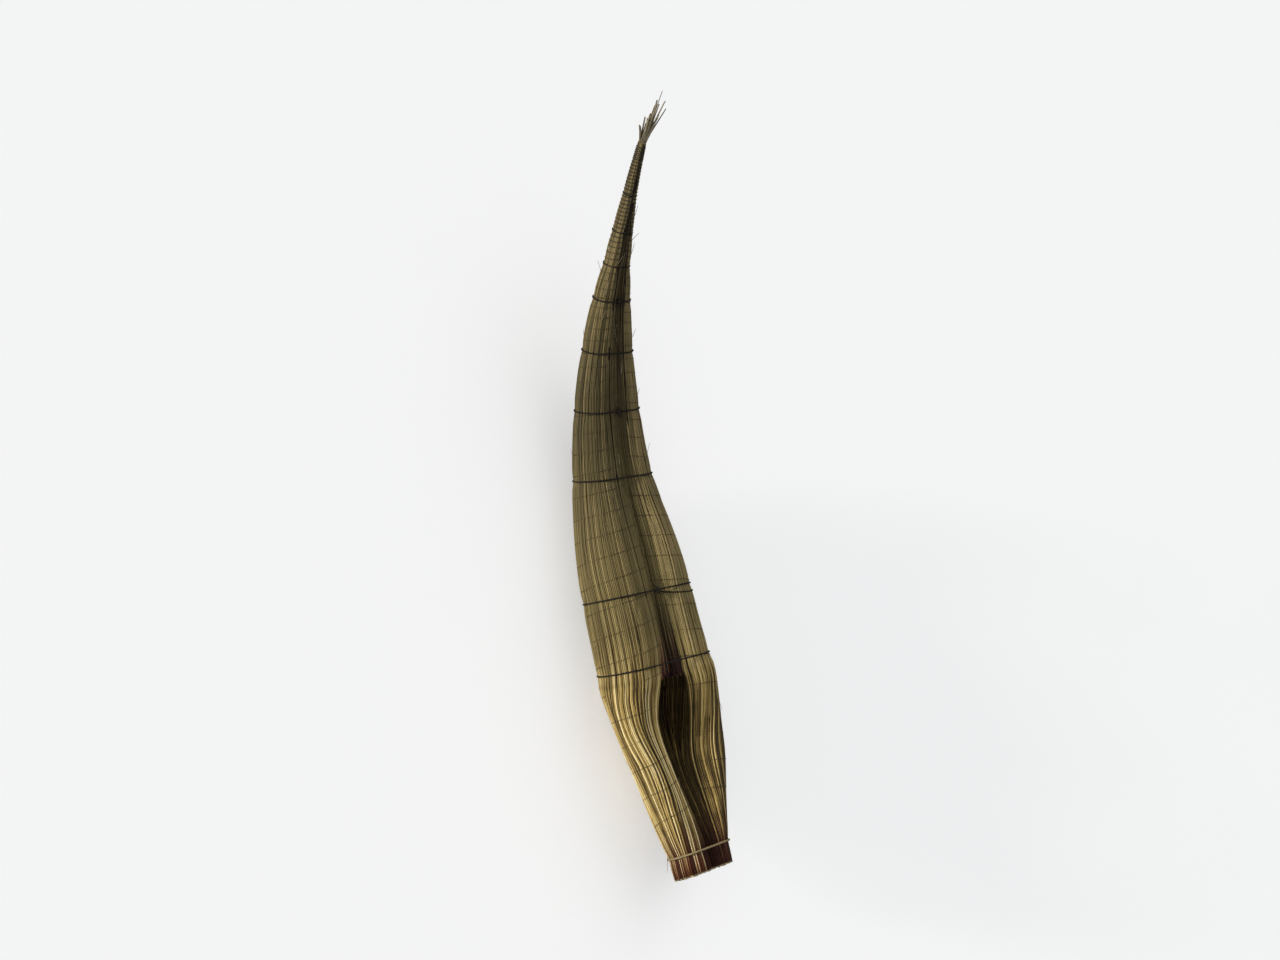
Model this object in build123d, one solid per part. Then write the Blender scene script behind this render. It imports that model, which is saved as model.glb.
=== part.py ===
from build123d import *
import math
import os

# Reed boat of two long mother bundles with two son bundles bedded in the
# valley between them, all held by girth ropes and drawn out to a raised bow.
# Aft of the sons the mothers lean apart round the open cockpit trough.
# It lies hull down: +X to the bow, +Y to port, +Z to the deck, millimetres.

os.makedirs("parts", exist_ok=True)

# Keel line from the cut stern to the whipped tip, as tangent runs
STERN_RUN = 1300.0
STERN_TURN = 12.0
FLAT_RUN = 600.0
WAIST_RUN = 1800.0
WAIST_TURN = 37.5
TIP_RUN = 860.0
TIP_TURN = 8.5

# Clearances between bundles and under the ropes
BUNDLE_GAP = 0.3
ROPE_GAP = 0.3

# Girth ropes and their knots
GIRTH_ROPE_RADIUS = 6.0
STERN_ROPE_RADIUS = 6.0
BOW_ROPE_RADIUS = 4.5
KNOT_RADIUS = 11.0
KNOT_LENGTH = 34.0

# Bow whipping: a tight sleeve of thin cord round the tip
WHIPPING_WALL = 4.0

# Longest bay between sections of the trough, where the mothers lean apart
TROUGH_BAY = 80.0

# Straws of the bow tuft
STRAW_ROOT_RADIUS = 2.6
STRAW_TIP_RADIUS = 1.0

# Flat sides that stand for rows of reeds round a bundle, and rope sides
MOTHER_SIDES = 26
BED_SIDES = 7
SON_DECK_SIDES = 6
ROPE_SIDES = 6
STRAW_SIDES = 6

# Mother bundle sections: name, station along the keel, half beam of the boat,
# width and height of the ellipse, lean outward in degrees
MOTHER_SECTIONS = (
    ("stern", 0.0, 172.0, 215.0, 300.0, 14.0),
    ("stern tie", 120.0, 182.0, 220.0, 322.0, 18.0),
    ("stern taper", 400.0, 247.0, 236.0, 368.0, 31.0),
    ("trough aft", 650.0, 314.0, 226.0, 425.0, 44.0),
    ("trough waist", 950.0, 366.0, 264.0, 452.0, 50.0),
    ("trough fore", 1100.0, 376.0, 345.0, 446.0, 43.0),
    ("son roots", 1200.0, 375.0, 378.0, 438.0, 31.0),
    ("rope 1", 1270.0, 366.0, 382.0, 432.0, 19.0),
    ("rope 2", 1700.0, 352.0, 388.0, 408.0, 0.0),
    ("shoulder", 2050.0, 321.0, 356.0, 375.0, 0.0),
    ("rope 3", 2450.0, 260.0, 300.0, 291.0, 0.0),
    ("rope 4", 2880.0, 213.0, 246.0, 230.0, 0.0),
    ("rope 5", 3250.0, 164.0, 190.0, 183.0, 0.0),
    ("rope 6", 3570.0, 118.0, 140.0, 140.0, 0.0),
    ("rope 7", 3780.0, 79.0, 100.0, 115.0, 0.0),
    ("rope 8", 3980.0, 57.0, 70.0, 94.0, 0.0),
    ("rope 9", 4200.0, 36.0, 46.0, 68.0, 0.0),
    ("whipping aft", 4415.0, 24.5, 31.0, 48.0, 0.0),
    ("whipping fore", 4475.0, 21.5, 28.0, 43.0, 0.0),
    ("tip", 4500.0, 20.5, 27.0, 41.0, 0.0),
)

# Son bundle sections: name of the mother's section, half width of the pair on
# the deck, width and height of the ellipse, drop of its top under the mother's
SON_SECTIONS = (
    ("son roots", 146.0, 162.0, 190.0, 40.0),
    ("rope 1", 150.0, 166.0, 192.0, 38.0),
    ("rope 2", 152.0, 170.0, 188.0, 26.0),
    ("shoulder", 143.0, 162.0, 170.0, 16.0),
    ("rope 3", 126.0, 146.0, 140.0, 8.0),
    ("rope 4", 109.0, 126.0, 118.0, 5.0),
    ("rope 5", 89.0, 103.0, 98.0, 4.0),
    ("rope 6", 66.0, 77.0, 79.0, 4.0),
    ("rope 7", 45.0, 52.0, 62.0, 2.0),
    ("rope 8", 32.0, 38.0, 51.0, 3.0),
    ("rope 9", 20.0, 24.5, 36.0, 2.5),
    ("whipping aft", 13.0, 17.0, 25.0, 1.2),
    ("whipping fore", 11.5, 15.0, 22.0, 1.0),
    ("tip", 11.0, 14.4, 21.0, 1.0),
)

# Cockpit hollow, which carries the sons' bed on aft of their roots and fades
# out at its first row: name of the mother's section, half width, width and
# height of the ellipse, drop of its top under the mother's
HOLLOW_SECTIONS = (
    ("trough aft", 150.0, 180.0, 300.0, 30.0),
    ("trough waist", 165.0, 200.0, 285.0, 24.0),
    ("trough fore", 165.0, 200.0, 262.0, 30.0),
    ("son roots", 146.0, 162.0, 190.0, 40.0),
)

# Girth ropes from stern to bow: section that each lies on, rope radius,
# whether a knot sits over the deck groove
GIRTH_ROPES = (
    ("rope 1", GIRTH_ROPE_RADIUS, False),
    ("rope 2", GIRTH_ROPE_RADIUS, True),
    ("rope 3", GIRTH_ROPE_RADIUS, False),
    ("rope 4", GIRTH_ROPE_RADIUS, True),
    ("rope 5", GIRTH_ROPE_RADIUS, False),
    ("rope 6", GIRTH_ROPE_RADIUS, True),
    ("rope 7", BOW_ROPE_RADIUS, False),
    ("rope 8", BOW_ROPE_RADIUS, False),
    ("rope 9", BOW_ROPE_RADIUS, False),
)

# Tuft straws: place across and up on the tip's end face as shares of it,
# lean to port and lean up in degrees, length
STRAWS = (
    (0.55, 0.55, 14.0, 8.0, 210.0),
    (-0.55, 0.55, -9.0, 12.0, 165.0),
    (0.25, 0.62, 5.0, 20.0, 250.0),
    (-0.25, 0.62, -4.0, 16.0, 285.0),
    (0.62, 0.18, 22.0, 3.0, 150.0),
    (-0.62, 0.18, -14.0, 2.0, 230.0),
    (0.22, 0.20, 7.0, 9.0, 330.0),
    (-0.22, 0.20, -3.0, 7.0, 305.0),
    (0.60, -0.22, 17.0, -4.0, 190.0),
    (-0.60, -0.22, -19.0, -6.0, 140.0),
    (0.22, -0.24, 8.0, -2.0, 270.0),
    (-0.22, -0.24, -8.0, -1.0, 240.0),
    (0.30, -0.64, 10.0, -13.0, 120.0),
    (-0.30, -0.64, -11.0, -9.0, 175.0),
)


# Keel line and section planes


def keel_at(station):
    # Point and heading on the keel line, summed run by run
    x, z, heading, left = 0.0, 0.0, -STERN_TURN, station
    runs = (
        (STERN_RUN, STERN_TURN),
        (FLAT_RUN, 0.0),
        (WAIST_RUN, WAIST_TURN),
        (TIP_RUN, TIP_TURN),
    )
    for place, (length, turn) in enumerate(runs):
        step = left if place == len(runs) - 1 else min(left, length)
        bend = math.radians(turn / length)
        start = math.radians(heading)
        if turn:
            x += (math.sin(start + bend * step) - math.sin(start)) / bend
            z += (math.cos(start) - math.cos(start + bend * step)) / bend
        else:
            x += step * math.cos(start)
            z += step * math.sin(start)
        heading += math.degrees(bend * step)
        left -= step
        if left <= 0.0:
            break
    return x, z, heading


def keel_plane(station):
    # Section plane square to the keel: its x is to port, its y to the deck
    x, z, heading = keel_at(station)
    tangent = (math.cos(math.radians(heading)), 0, math.sin(math.radians(heading)))
    return Plane(origin=(x, 0, z), x_dir=(0, 1, 0), z_dir=tangent)


def row_named(name, table=MOTHER_SECTIONS):
    return next(row for row in table if row[0] == name)


def plane_named(name):
    return keel_plane(row_named(name)[1])


class Oval:
    # Leaning ellipse in a section plane: its centre, half axes and lean
    def __init__(self, out, up, wide, tall, lean):
        self.out, self.up = out, up
        self.a, self.b = wide / 2, tall / 2
        self.tilt = math.radians(lean)

    def point(self, angle):
        u, v = self.a * math.cos(angle), self.b * math.sin(angle)
        across = u * math.cos(self.tilt) + v * math.sin(self.tilt)
        rise = v * math.cos(self.tilt) - u * math.sin(self.tilt)
        return self.out + across, self.up + rise

    def points(self, start, end, sides):
        angles = [start + (end - start) * n / sides for n in range(sides + 1)]
        return [self.point(angle) for angle in angles]

    def angle_to(self, point):
        # Angle of the ray through a point, in the ellipse's own axes
        y, z = point[0] - self.out, point[1] - self.up
        u = y * math.cos(self.tilt) - z * math.sin(self.tilt)
        v = y * math.sin(self.tilt) + z * math.cos(self.tilt)
        return math.atan2(v / self.b, u / self.a), math.hypot(u / self.a, v / self.b)

    def holds(self, point):
        return self.angle_to(point)[1] < 1.0

    def top_angle(self):
        return math.atan2(self.b * math.cos(self.tilt), -self.a * math.sin(self.tilt))

    def midship_angles(self):
        # Angles of its lower and upper crossing of the midship plane
        across, rise = self.a * math.cos(self.tilt), self.b * math.sin(self.tilt)
        phase = math.atan2(rise, across)
        spread = math.acos(-self.out / math.hypot(across, rise))
        return phase - spread, phase + spread


def slope_at(place, column):
    # Slope of a column of the mother table at one of its rows
    rows = MOTHER_SECTIONS[max(place - 1, 0) : place + 2]
    rises = [(b[column] - a[column]) / (b[1] - a[1]) for a, b in zip(rows, rows[1:])]
    return sum(rises) / len(rises)


def table_value(station, column):
    # Smooth value of a column at a station between two rows of the table
    place = max(n for n, row in enumerate(MOTHER_SECTIONS[:-1]) if row[1] <= station)
    low, high = MOTHER_SECTIONS[place], MOTHER_SECTIONS[place + 1]
    run = high[1] - low[1]
    t = (station - low[1]) / run
    start, end = slope_at(place, column) * run, slope_at(place + 1, column) * run
    value = low[column] * (1 + 2 * t) * (1 - t) ** 2 + high[column] * (3 - 2 * t) * t**2
    return value + start * t * (1 - t) ** 2 - end * (1 - t) * t**2


def oval_at(station):
    # The ellipse touches the keel line's level and reaches the half beam
    half_beam, wide, tall, lean = [table_value(station, n) for n in range(2, 6)]
    tilt = math.radians(lean)
    across = math.hypot(tall / 2 * math.sin(tilt), wide / 2 * math.cos(tilt))
    up = math.hypot(tall / 2 * math.cos(tilt), wide / 2 * math.sin(tilt))
    return Oval(half_beam - across, up, wide, tall, lean)


def mother_oval(name):
    return oval_at(row_named(name)[1])


def bed_oval(mother, sizes, grow):
    # Ellipse let into a mother from above, its top a drop under hers
    half_width, wide, tall, drop = sizes
    out, up = half_width - wide / 2, 2 * mother.up - drop - tall / 2
    return Oval(out, up, wide + 2 * grow, tall + 2 * grow, 0.0)


def son_oval(name, grow=0.0):
    return bed_oval(mother_oval(name), row_named(name, SON_SECTIONS)[1:], grow)


def hollow_oval(station):
    # Ellipse of the cockpit's hollow, between two rows of its table
    rows = [(row_named(row[0])[1], row[1:]) for row in HOLLOW_SECTIONS]
    place = max(n for n, row in enumerate(rows[:-1]) if row[0] <= station)
    (low, start), (high, end) = rows[place : place + 2]
    t = (station - low) / (high - low)
    sizes = [a + (b - a) * t for a, b in zip(start, end)]
    return bed_oval(oval_at(station), sizes, BUNDLE_GAP)


# Half sections, closed by a straight edge amidships


def lip_angle(oval, bed):
    # Where the mother's upper inner side meets the edge of the bed
    inside, outside = oval.midship_angles()[1], oval.top_angle()
    for _ in range(60):
        middle = (inside + outside) / 2
        if bed.holds(oval.point(middle)):
            inside = middle
        else:
            outside = middle
    return inside


def son_lip(name):
    return lip_angle(mother_oval(name), son_oval(name, BUNDLE_GAP))


def lip_share(name):
    low, high = mother_oval(name).midship_angles()
    return (son_lip(name) - low) / (high - low)


def whole_corners(station, share):
    # Mother with no bed, its corners in line with those of a bedded section
    oval = oval_at(station)
    low, high = oval.midship_angles()
    lip = low + (high - low) * share
    return oval.points(low, lip, MOTHER_SIDES) + oval.points(lip, high, BED_SIDES)[1:]


def bed_edge(name):
    # The lip again, as an angle of the bed's own ellipse
    bed = son_oval(name, BUNDLE_GAP)
    return bed.angle_to(mother_oval(name).point(son_lip(name)))[0]


def let_in(oval, bed):
    # Mother with a bed in its upper inner side, down to the midship plane
    low, lip = oval.midship_angles()[0], lip_angle(oval, bed)
    edge = bed.angle_to(oval.point(lip))[0]
    bedding = bed.points(edge, bed.midship_angles()[0], BED_SIDES)
    return oval.points(low, lip, MOTHER_SIDES) + bedding[1:]


def bedded_corners(name):
    return let_in(mother_oval(name), son_oval(name, BUNDLE_GAP))


def cockpit_corners(station):
    # Mother aft of the sons, whole at the stern and hollowed towards the roots
    whole = whole_corners(station, ROOT_SHARE)
    start, full = [row_named(row[0])[1] for row in HOLLOW_SECTIONS[:2]]
    if station <= start:
        return whole
    t = min((station - start) / (full - start), 1.0)
    hollowed = let_in(oval_at(station), hollow_oval(min(station, ROOT_STATION - 1e-6)))
    k = t * t * (3 - 2 * t)
    return [(a + (c - a) * k, b + (d - b) * k) for (a, b), (c, d) in zip(whole, hollowed)]


def son_corners(name):
    # The sides in the bed match the bed's, and the rest show on the deck
    oval = son_oval(name)
    low, high = oval.midship_angles()
    edge = bed_edge(name)
    return oval.points(low, edge, BED_SIDES) + oval.points(edge, high, SON_DECK_SIDES)[1:]


def half_face(station, corners):
    return keel_plane(station) * Polygon(*corners, align=None).face()


def bays(stations, longest):
    # Stations with more between them, so that no bay is longer than stated
    result = list(stations[:1])
    for low, high in zip(stations, stations[1:]):
        count = math.ceil((high - low) / longest)
        result += [low + (high - low) * (n + 1) / count for n in range(count)]
    return result


# Bundles of the port side, with the starboard side as their mirror image

SON_NAMES = [row[0] for row in SON_SECTIONS]
ROOT = SON_NAMES[0]
ROOT_SHARE = lip_share(ROOT)
ROOT_STATION = row_named(ROOT)[1]
AFT_STATIONS = [row[1] for row in MOTHER_SECTIONS if row[1] <= ROOT_STATION]
SON_STATIONS = [row_named(name)[1] for name in SON_NAMES]

# Each mother is in two lengths that meet at the son roots: the trough length
# with the cockpit's hollow, and the deck length with the son's bed
aft_bays = bays(AFT_STATIONS[:-1] + [ROOT_STATION - BUNDLE_GAP], TROUGH_BAY)
trough_length = loft([half_face(s, cockpit_corners(s)) for s in aft_bays])
bedded = zip(SON_STATIONS, [bedded_corners(name) for name in SON_NAMES])
deck_length = loft([half_face(s, corners) for s, corners in bedded])
mother_port = Compound(children=[trough_length.solid(), deck_length.solid()])
rounded = zip(SON_STATIONS, [son_corners(name) for name in SON_NAMES])
son_port = loft([half_face(s, corners) for s, corners in rounded])
mother_starboard = mirror(mother_port, about=Plane.XZ)
son_starboard = mirror(son_port, about=Plane.XZ)


# Ropes: each follows the tight outline of both mothers at its section


def tight_outline(name, clear):
    # Outer corners from the lowest to the highest, bridged to their mirror
    # image straight over the deck groove and under the keel
    if name in SON_NAMES:
        corners = bedded_corners(name)
    else:
        corners = cockpit_corners(row_named(name)[1])
    outer = corners[: MOTHER_SIDES + 1]
    heights = [corner[1] for corner in outer]
    outer = outer[heights.index(min(heights)) : heights.index(max(heights)) + 1]
    other = [(-y, z) for y, z in reversed(outer)]
    outline = Polygon(*outer, *other, align=None)
    return offset(outline, amount=clear, kind=Kind.INTERSECTION).face()


def steepest_taper(name):
    # Steepest slope of the mothers beside one section, in radians
    names = [row[0] for row in MOTHER_SECTIONS]
    place = names.index(name)
    here, slopes = MOTHER_SECTIONS[place], [0.0]
    for near in MOTHER_SECTIONS[place - 1], MOTHER_SECTIONS[place + 1]:
        run = abs(near[1] - here[1])
        change = max(abs(near[2] - here[2]), abs(near[4] - here[4]))
        slopes.append(math.atan2(change, run))
    return max(slopes)


def rope_ring(name, radius):
    path = tight_outline(name, radius / math.cos(steepest_taper(name)) + ROPE_GAP)
    path = path.outer_wire()
    start = Plane(origin=path @ 0, z_dir=path % 0)
    section = start * RegularPolygon(radius, ROPE_SIDES)
    ring = sweep(section, path=path, transition=Transition.RIGHT)
    return plane_named(name) * ring


def knot_over(name, radius):
    # Barrel of a knot on the rope over the deck groove, along the boat
    height = 2 * mother_oval(name).up + radius + ROPE_GAP
    return plane_named(name) * Pos(0, height, 0) * Cylinder(KNOT_RADIUS, KNOT_LENGTH)


girth_ropes = []
for name, radius, knotted in GIRTH_ROPES:
    ring = rope_ring(name, radius)
    girth_ropes.append(ring + knot_over(name, radius) if knotted else ring)
stern_tie = rope_ring("stern tie", STERN_ROPE_RADIUS)

# Whipping sleeve round the tip, from one section of the mothers to the next


def sleeve(clear):
    faces = [plane_named(n) * tight_outline(n, clear) for n in ("whipping aft", "whipping fore")]
    return loft(faces, ruled=True)


bow_whipping = sleeve(ROPE_GAP + WHIPPING_WALL) - sleeve(ROPE_GAP)

# Tuft of straws standing on the end faces of the bundles


def straw(across, up, port_lean, up_lean, length):
    tip = row_named("tip")
    seat = Pos(across * tip[2], tip[4] / 2 * (1 + up), 0)
    rise = [length * math.tan(math.radians(lean)) for lean in (port_lean, up_lean)]
    root = RegularPolygon(STRAW_ROOT_RADIUS, STRAW_SIDES)
    end = Pos(*rise, length) * RegularPolygon(STRAW_TIP_RADIUS, STRAW_SIDES)
    return plane_named("tip") * seat * loft([root, end], ruled=True)


bow_tuft = Compound(children=[straw(*row).solid() for row in STRAWS])

# Every piece is its own node, moved so that the origin lies under the middle
# of the whole boat's box

nodes = {
    "mother_bundle_port": mother_port,
    "mother_bundle_starboard": mother_starboard,
    "son_bundle_port": son_port,
    "son_bundle_starboard": son_starboard,
    "stern_tie": stern_tie,
    "bow_whipping": bow_whipping,
    "bow_tuft": bow_tuft,
}
for number, ring in enumerate(girth_ropes, start=1):
    nodes[f"girth_rope_{number}"] = ring

boxes = [shape.bounding_box() for shape in nodes.values()]
low_x = min(box.min.X for box in boxes)
high_x = max(box.max.X for box in boxes)
low_z = min(box.min.Z for box in boxes)
shift = Pos(-(low_x + high_x) / 2, 0, -low_z)
print("shift", (low_x + high_x) / 2, low_z, "length", high_x - low_x)
for name, shape in nodes.items():
    export_step(shift * shape, f"parts/{name}.step")
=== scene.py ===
import math
import random

import bpy
import numpy as np
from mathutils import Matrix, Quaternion, Vector


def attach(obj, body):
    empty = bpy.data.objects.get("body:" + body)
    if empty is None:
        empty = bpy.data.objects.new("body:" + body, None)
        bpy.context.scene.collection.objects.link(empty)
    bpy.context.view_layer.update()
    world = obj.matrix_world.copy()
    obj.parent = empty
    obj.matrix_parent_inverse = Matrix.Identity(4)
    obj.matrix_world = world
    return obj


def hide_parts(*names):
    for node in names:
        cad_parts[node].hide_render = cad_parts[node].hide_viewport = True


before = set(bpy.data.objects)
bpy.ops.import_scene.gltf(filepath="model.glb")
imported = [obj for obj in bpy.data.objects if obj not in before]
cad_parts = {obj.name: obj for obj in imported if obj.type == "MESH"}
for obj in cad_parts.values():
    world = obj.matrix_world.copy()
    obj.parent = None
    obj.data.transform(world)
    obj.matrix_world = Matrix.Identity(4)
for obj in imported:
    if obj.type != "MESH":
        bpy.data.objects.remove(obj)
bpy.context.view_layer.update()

bl_info = {
    "name": "Reed Boat",
    "version": (1, 0, 0),
    "blender": (4, 5, 0),
    "location": "3D Viewport > Sidebar > Reed Boat",
    "description": "Dresses a boat of lashed bundles with single reeds, ropes and straws",
    "category": "Add Mesh",
}

# Lengths are in metres. A station is a distance along the keel line from the
# cut stern, and a section is the plane square to the keel line there.

# Tangent runs of the keel line: length, turn in degrees
KEEL_RUNS = ((1.3, 12.0), (0.6, 0.0), (1.8, 37.5), (0.86, 8.5))
STERN_HEADING = -12.0
BOAT_LENGTH = 4.5
SON_ROOTS = 1.2
# The cockpit's lip is a sharp edge forward of this station. Further aft the
# reeds run in lanes that keep this share of the girth outside it.
LIP_STARTS = 0.75
LIP_SHARE = 0.865
# How far the bends of the trough's lanes are eased: station, share
TROUGH_EASE = ((0.15, 0.0), (0.35, 1.0), (1.0, 1.0), (1.13, 0.0))

# Girth ropes: node, station, rope radius, knotted over the groove
GIRTH_ROPES = (
    ("girth_rope_1", 1.27, 0.006, False),
    ("girth_rope_2", 1.70, 0.006, True),
    ("girth_rope_3", 2.45, 0.006, False),
    ("girth_rope_4", 2.88, 0.006, True),
    ("girth_rope_5", 3.25, 0.006, False),
    ("girth_rope_6", 3.57, 0.006, True),
    ("girth_rope_7", 3.78, 0.0045, False),
    ("girth_rope_8", 3.98, 0.0045, False),
    ("girth_rope_9", 4.20, 0.0045, False),
)
THICK_ROPE = 0.006
STERN_TIE = 0.12
ROPE_STATIONS = [row[1] for row in GIRTH_ROPES] + [STERN_TIE]
BOW_CORD = 3.82
WHIPPING = (4.40, 4.482)

# Tuft straws: lean to port and lean up in degrees, length, thickness against
# the straw in the settings, tone from dark to light
TUFT_STRAWS = (
    (13.0, 2.0, 0.12, 1.0, 0.1),
    (10.0, 7.0, 0.09, 0.8, 0.7),
    (6.5, 0.0, 0.17, 1.1, 0.05),
    (4.0, 4.0, 0.18, 1.2, 0.9),
    (1.5, -2.0, 0.19, 0.9, 0.2),
    (0.0, 6.0, 0.21, 0.9, 0.95),
    (-3.0, 2.0, 0.33, 0.55, 0.1),
    (-3.5, -3.0, 0.235, 1.1, 0.05),
    (-4.5, 5.0, 0.25, 1.1, 0.6),
    (-6.0, 0.0, 0.265, 1.2, 0.15),
    (-8.0, 6.0, 0.2, 1.0, 0.95),
    (-9.5, -2.0, 0.25, 1.0, 0.3),
    (-12.0, 3.0, 0.27, 1.0, 0.8),
    (-14.0, -1.0, 0.275, 0.8, 0.05),
    (-17.0, -4.0, 0.12, 1.0, 0.9),
    (-21.0, 2.0, 0.24, 0.8, 0.2),
    (-26.0, -3.0, 0.07, 0.8, 0.4),
    (5.0, 10.0, 0.09, 0.8, 0.6),
    (-5.0, -7.0, 0.11, 1.0, 0.9),
    (-11.0, 9.0, 0.14, 0.8, 0.2),
    (8.0, -4.0, 0.11, 1.0, 0.5),
    (3.0, 8.0, 0.14, 1.0, 0.1),
    (-1.0, -6.0, 0.16, 1.1, 0.8),
    (-2.0, 9.0, 0.15, 0.9, 0.3),
    (-7.0, -5.0, 0.18, 1.0, 0.6),
    (-9.0, 2.0, 0.15, 1.1, 0.1),
    (-11.0, -6.0, 0.2, 1.0, 0.9),
    (-13.0, 7.0, 0.18, 0.9, 0.4),
    (-16.0, 1.0, 0.19, 0.9, 0.2),
    (1.0, 3.0, 0.13, 1.1, 0.7),
)
# Half of the tuft's root across and up and down, and its height over the keel
TUFT_ACROSS, TUFT_UP, TUFT_HEIGHT = 0.013, 0.014, 0.0205
# Runs of stations where the stray straws stick out
STRAY_REACHES = ((0.1, 1.2), (2.3, 4.2), (2.9, 4.2))

# Reed width wanted along the boat: station, width
REED_WIDTHS = ((0.0, 0.0080), (0.65, 0.0104), (2.0, 0.0098), (3.0, 0.0083), (3.8, 0.0062), (4.5, 0.0045))
# Painted light and shade on the mothers' reeds of each side: how much lighter they are painted, darker where
# below 0: station, share
PAINTED_LIGHT_AND_SHADE = {
    "port": ((0.9, 0.08), (1.5, 0.0), (3.0, 0.0), (3.6, 0.4)),
    "starboard": ((0.8, -0.32), (2.0, 0.4)),
}
# Pitch of the thin winding cord round each half: station, pitch
CORD_PITCHES = (
    (0.25, 0.17),
    (1.2, 0.16),
    (1.7, 0.15),
    (2.6, 0.13),
    (3.2, 0.085),
    (3.6, 0.055),
    (3.9, 0.032),
    (4.05, 0.023),
    (4.4, 0.019),
)
# Thickness of that cord against the one in the settings: station, share
CORD_SHARES = ((0.0, 1.0), (3.5, 1.0), (3.9, 1.5), (4.1, 1.9), (4.4, 1.9))

SIDES = ((1, "port"), (-1, "starboard"))
PORT = np.array([0.0, 1.0, 0.0])
# Nothing on one half comes nearer than this to the middle plane
MIDDLE_GAP = 0.0004
# A full turn in radians, near enough for slow waves and for random turns
FULL_TURN = 6.28


def at(table, station):
    return float(np.interp(station, [row[0] for row in table], [row[1] for row in table]))


# Surface of the frame's bundles


def keel_start():
    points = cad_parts["mother_bundle_port"].data.vertices
    corner = min((v.co for v in points), key=lambda co: co.x)
    return np.array([corner.x, 0.0, corner.z])


KEEL_START = keel_start()


def keel_at(station):
    """Point on the keel line, with the directions along it and square up from it."""
    x, z, heading, left = 0.0, 0.0, STERN_HEADING, station
    for place, (length, turn) in enumerate(KEEL_RUNS):
        step = left if place == len(KEEL_RUNS) - 1 else min(left, length)
        bend, start = math.radians(turn / length), math.radians(heading)
        if turn:
            x += (math.sin(start + bend * step) - math.sin(start)) / bend
            z += (math.cos(start) - math.cos(start + bend * step)) / bend
        else:
            x, z = x + step * math.cos(start), z + step * math.sin(start)
        heading += math.degrees(bend * step)
        left -= step
        if left <= 0.0:
            break
    angle = math.radians(heading)
    along = np.array([math.cos(angle), 0.0, math.sin(angle)])
    up = np.array([-math.sin(angle), 0.0, math.cos(angle)])
    return KEEL_START + np.array([x, 0.0, z]), along, up


class Skin:
    """The surface of one bundle of the frame, cut into sections."""

    MIDSHIP = 2e-4

    def __init__(self, node):
        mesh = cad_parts[node].data
        points = np.empty(len(mesh.vertices) * 3)
        mesh.vertices.foreach_get("co", points)
        mesh.calc_loop_triangles()
        corners = np.empty(len(mesh.loop_triangles) * 3, np.int32)
        mesh.loop_triangles.foreach_get("vertices", corners)
        rounded_off = points.reshape(-1, 3).round(6)
        self.points, index = np.unique(rounded_off, axis=0, return_inverse=True)
        self.triangles = index.ravel()[corners].reshape(-1, 3)

    def outline(self, station):
        """Open line round a section, from its lowest midship point outward and over."""
        origin, along, up = keel_at(station)
        side = (self.points - origin) @ along
        corners = side[self.triangles]
        crossed = (corners.min(1) < 0) & (corners.max(1) >= 0)
        links, spots = {}, {}
        for triangle in self.triangles[crossed]:
            ends = []
            for a, b in ((0, 1), (1, 2), (2, 0)):
                i, j = sorted((int(triangle[a]), int(triangle[b])))
                if (side[i] < 0) == (side[j] < 0):
                    continue
                share = side[i] / (side[i] - side[j])
                point = self.points[i] + (self.points[j] - self.points[i]) * share
                spots[i, j] = (point[1], float((point - origin) @ up))
                ends.append((i, j))
            links.setdefault(ends[0], []).append(ends[1])
            links.setdefault(ends[1], []).append(ends[0])
        midship = [key for key in spots if abs(spots[key][0]) < self.MIDSHIP]
        last = min(midship, key=lambda key: spots[key][1])
        here = max(links[last], key=lambda key: spots[key][0])
        line = [last, here]
        while abs(spots[here][0]) >= self.MIDSHIP:
            onward = [key for key in links[here] if key != last]
            last, here = here, onward[0]
            line.append(here)
        return np.array([spots[key] for key in line])


def lengths(line):
    """Length of a line up to each of its points."""
    return np.concatenate([[0.0], np.cumsum(np.linalg.norm(np.diff(line, axis=0), axis=1))])


def spaced(line, count):
    """The same line with its points evenly spaced, in a section or in space."""
    run = lengths(line)
    wanted = np.linspace(0, run[-1], count)
    return np.stack([np.interp(wanted, run, axis) for axis in line.T], axis=1)


def rounded(line, times):
    """The same open line with the flat sides of its polygon smoothed out."""
    line = line.copy()
    for _ in range(times):
        line[1:-1] = (line[:-2] + 2 * line[1:-1] + line[2:]) / 4
    return line


def outward(line):
    """Unit normals of a line that runs outward from amidships and over."""
    run = np.gradient(line, axis=0)
    run /= np.maximum(np.linalg.norm(run, axis=1, keepdims=True), 1e-9)
    return np.stack([run[:, 1], -run[:, 0]], axis=1)


def point_on(line, share):
    """Point at a share of an evenly spaced line, and the outward normal there."""
    where = share * (len(line) - 1)
    low = min(int(where), len(line) - 2)
    return line[low] + (line[low + 1] - line[low]) * (where - low), outward(line)[low]


def stations_of_boat():
    """Stations of the sections, closer together at the ropes and at the sons' roots."""
    end, step, clear = 0.0007, 0.05, 0.03
    result = list(np.arange(end, BOAT_LENGTH, step)) + [BOAT_LENGTH - end]
    result = [s for s in result if min(abs(s - r) for r in ROPE_STATIONS) > clear]
    for rope in ROPE_STATIONS:
        result += [rope + offset for offset in (-0.026, -0.0085, 0.0085, 0.026)]
    result += [SON_ROOTS + end]
    return np.array(sorted(s for s in result if s < BOAT_LENGTH))


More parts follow.
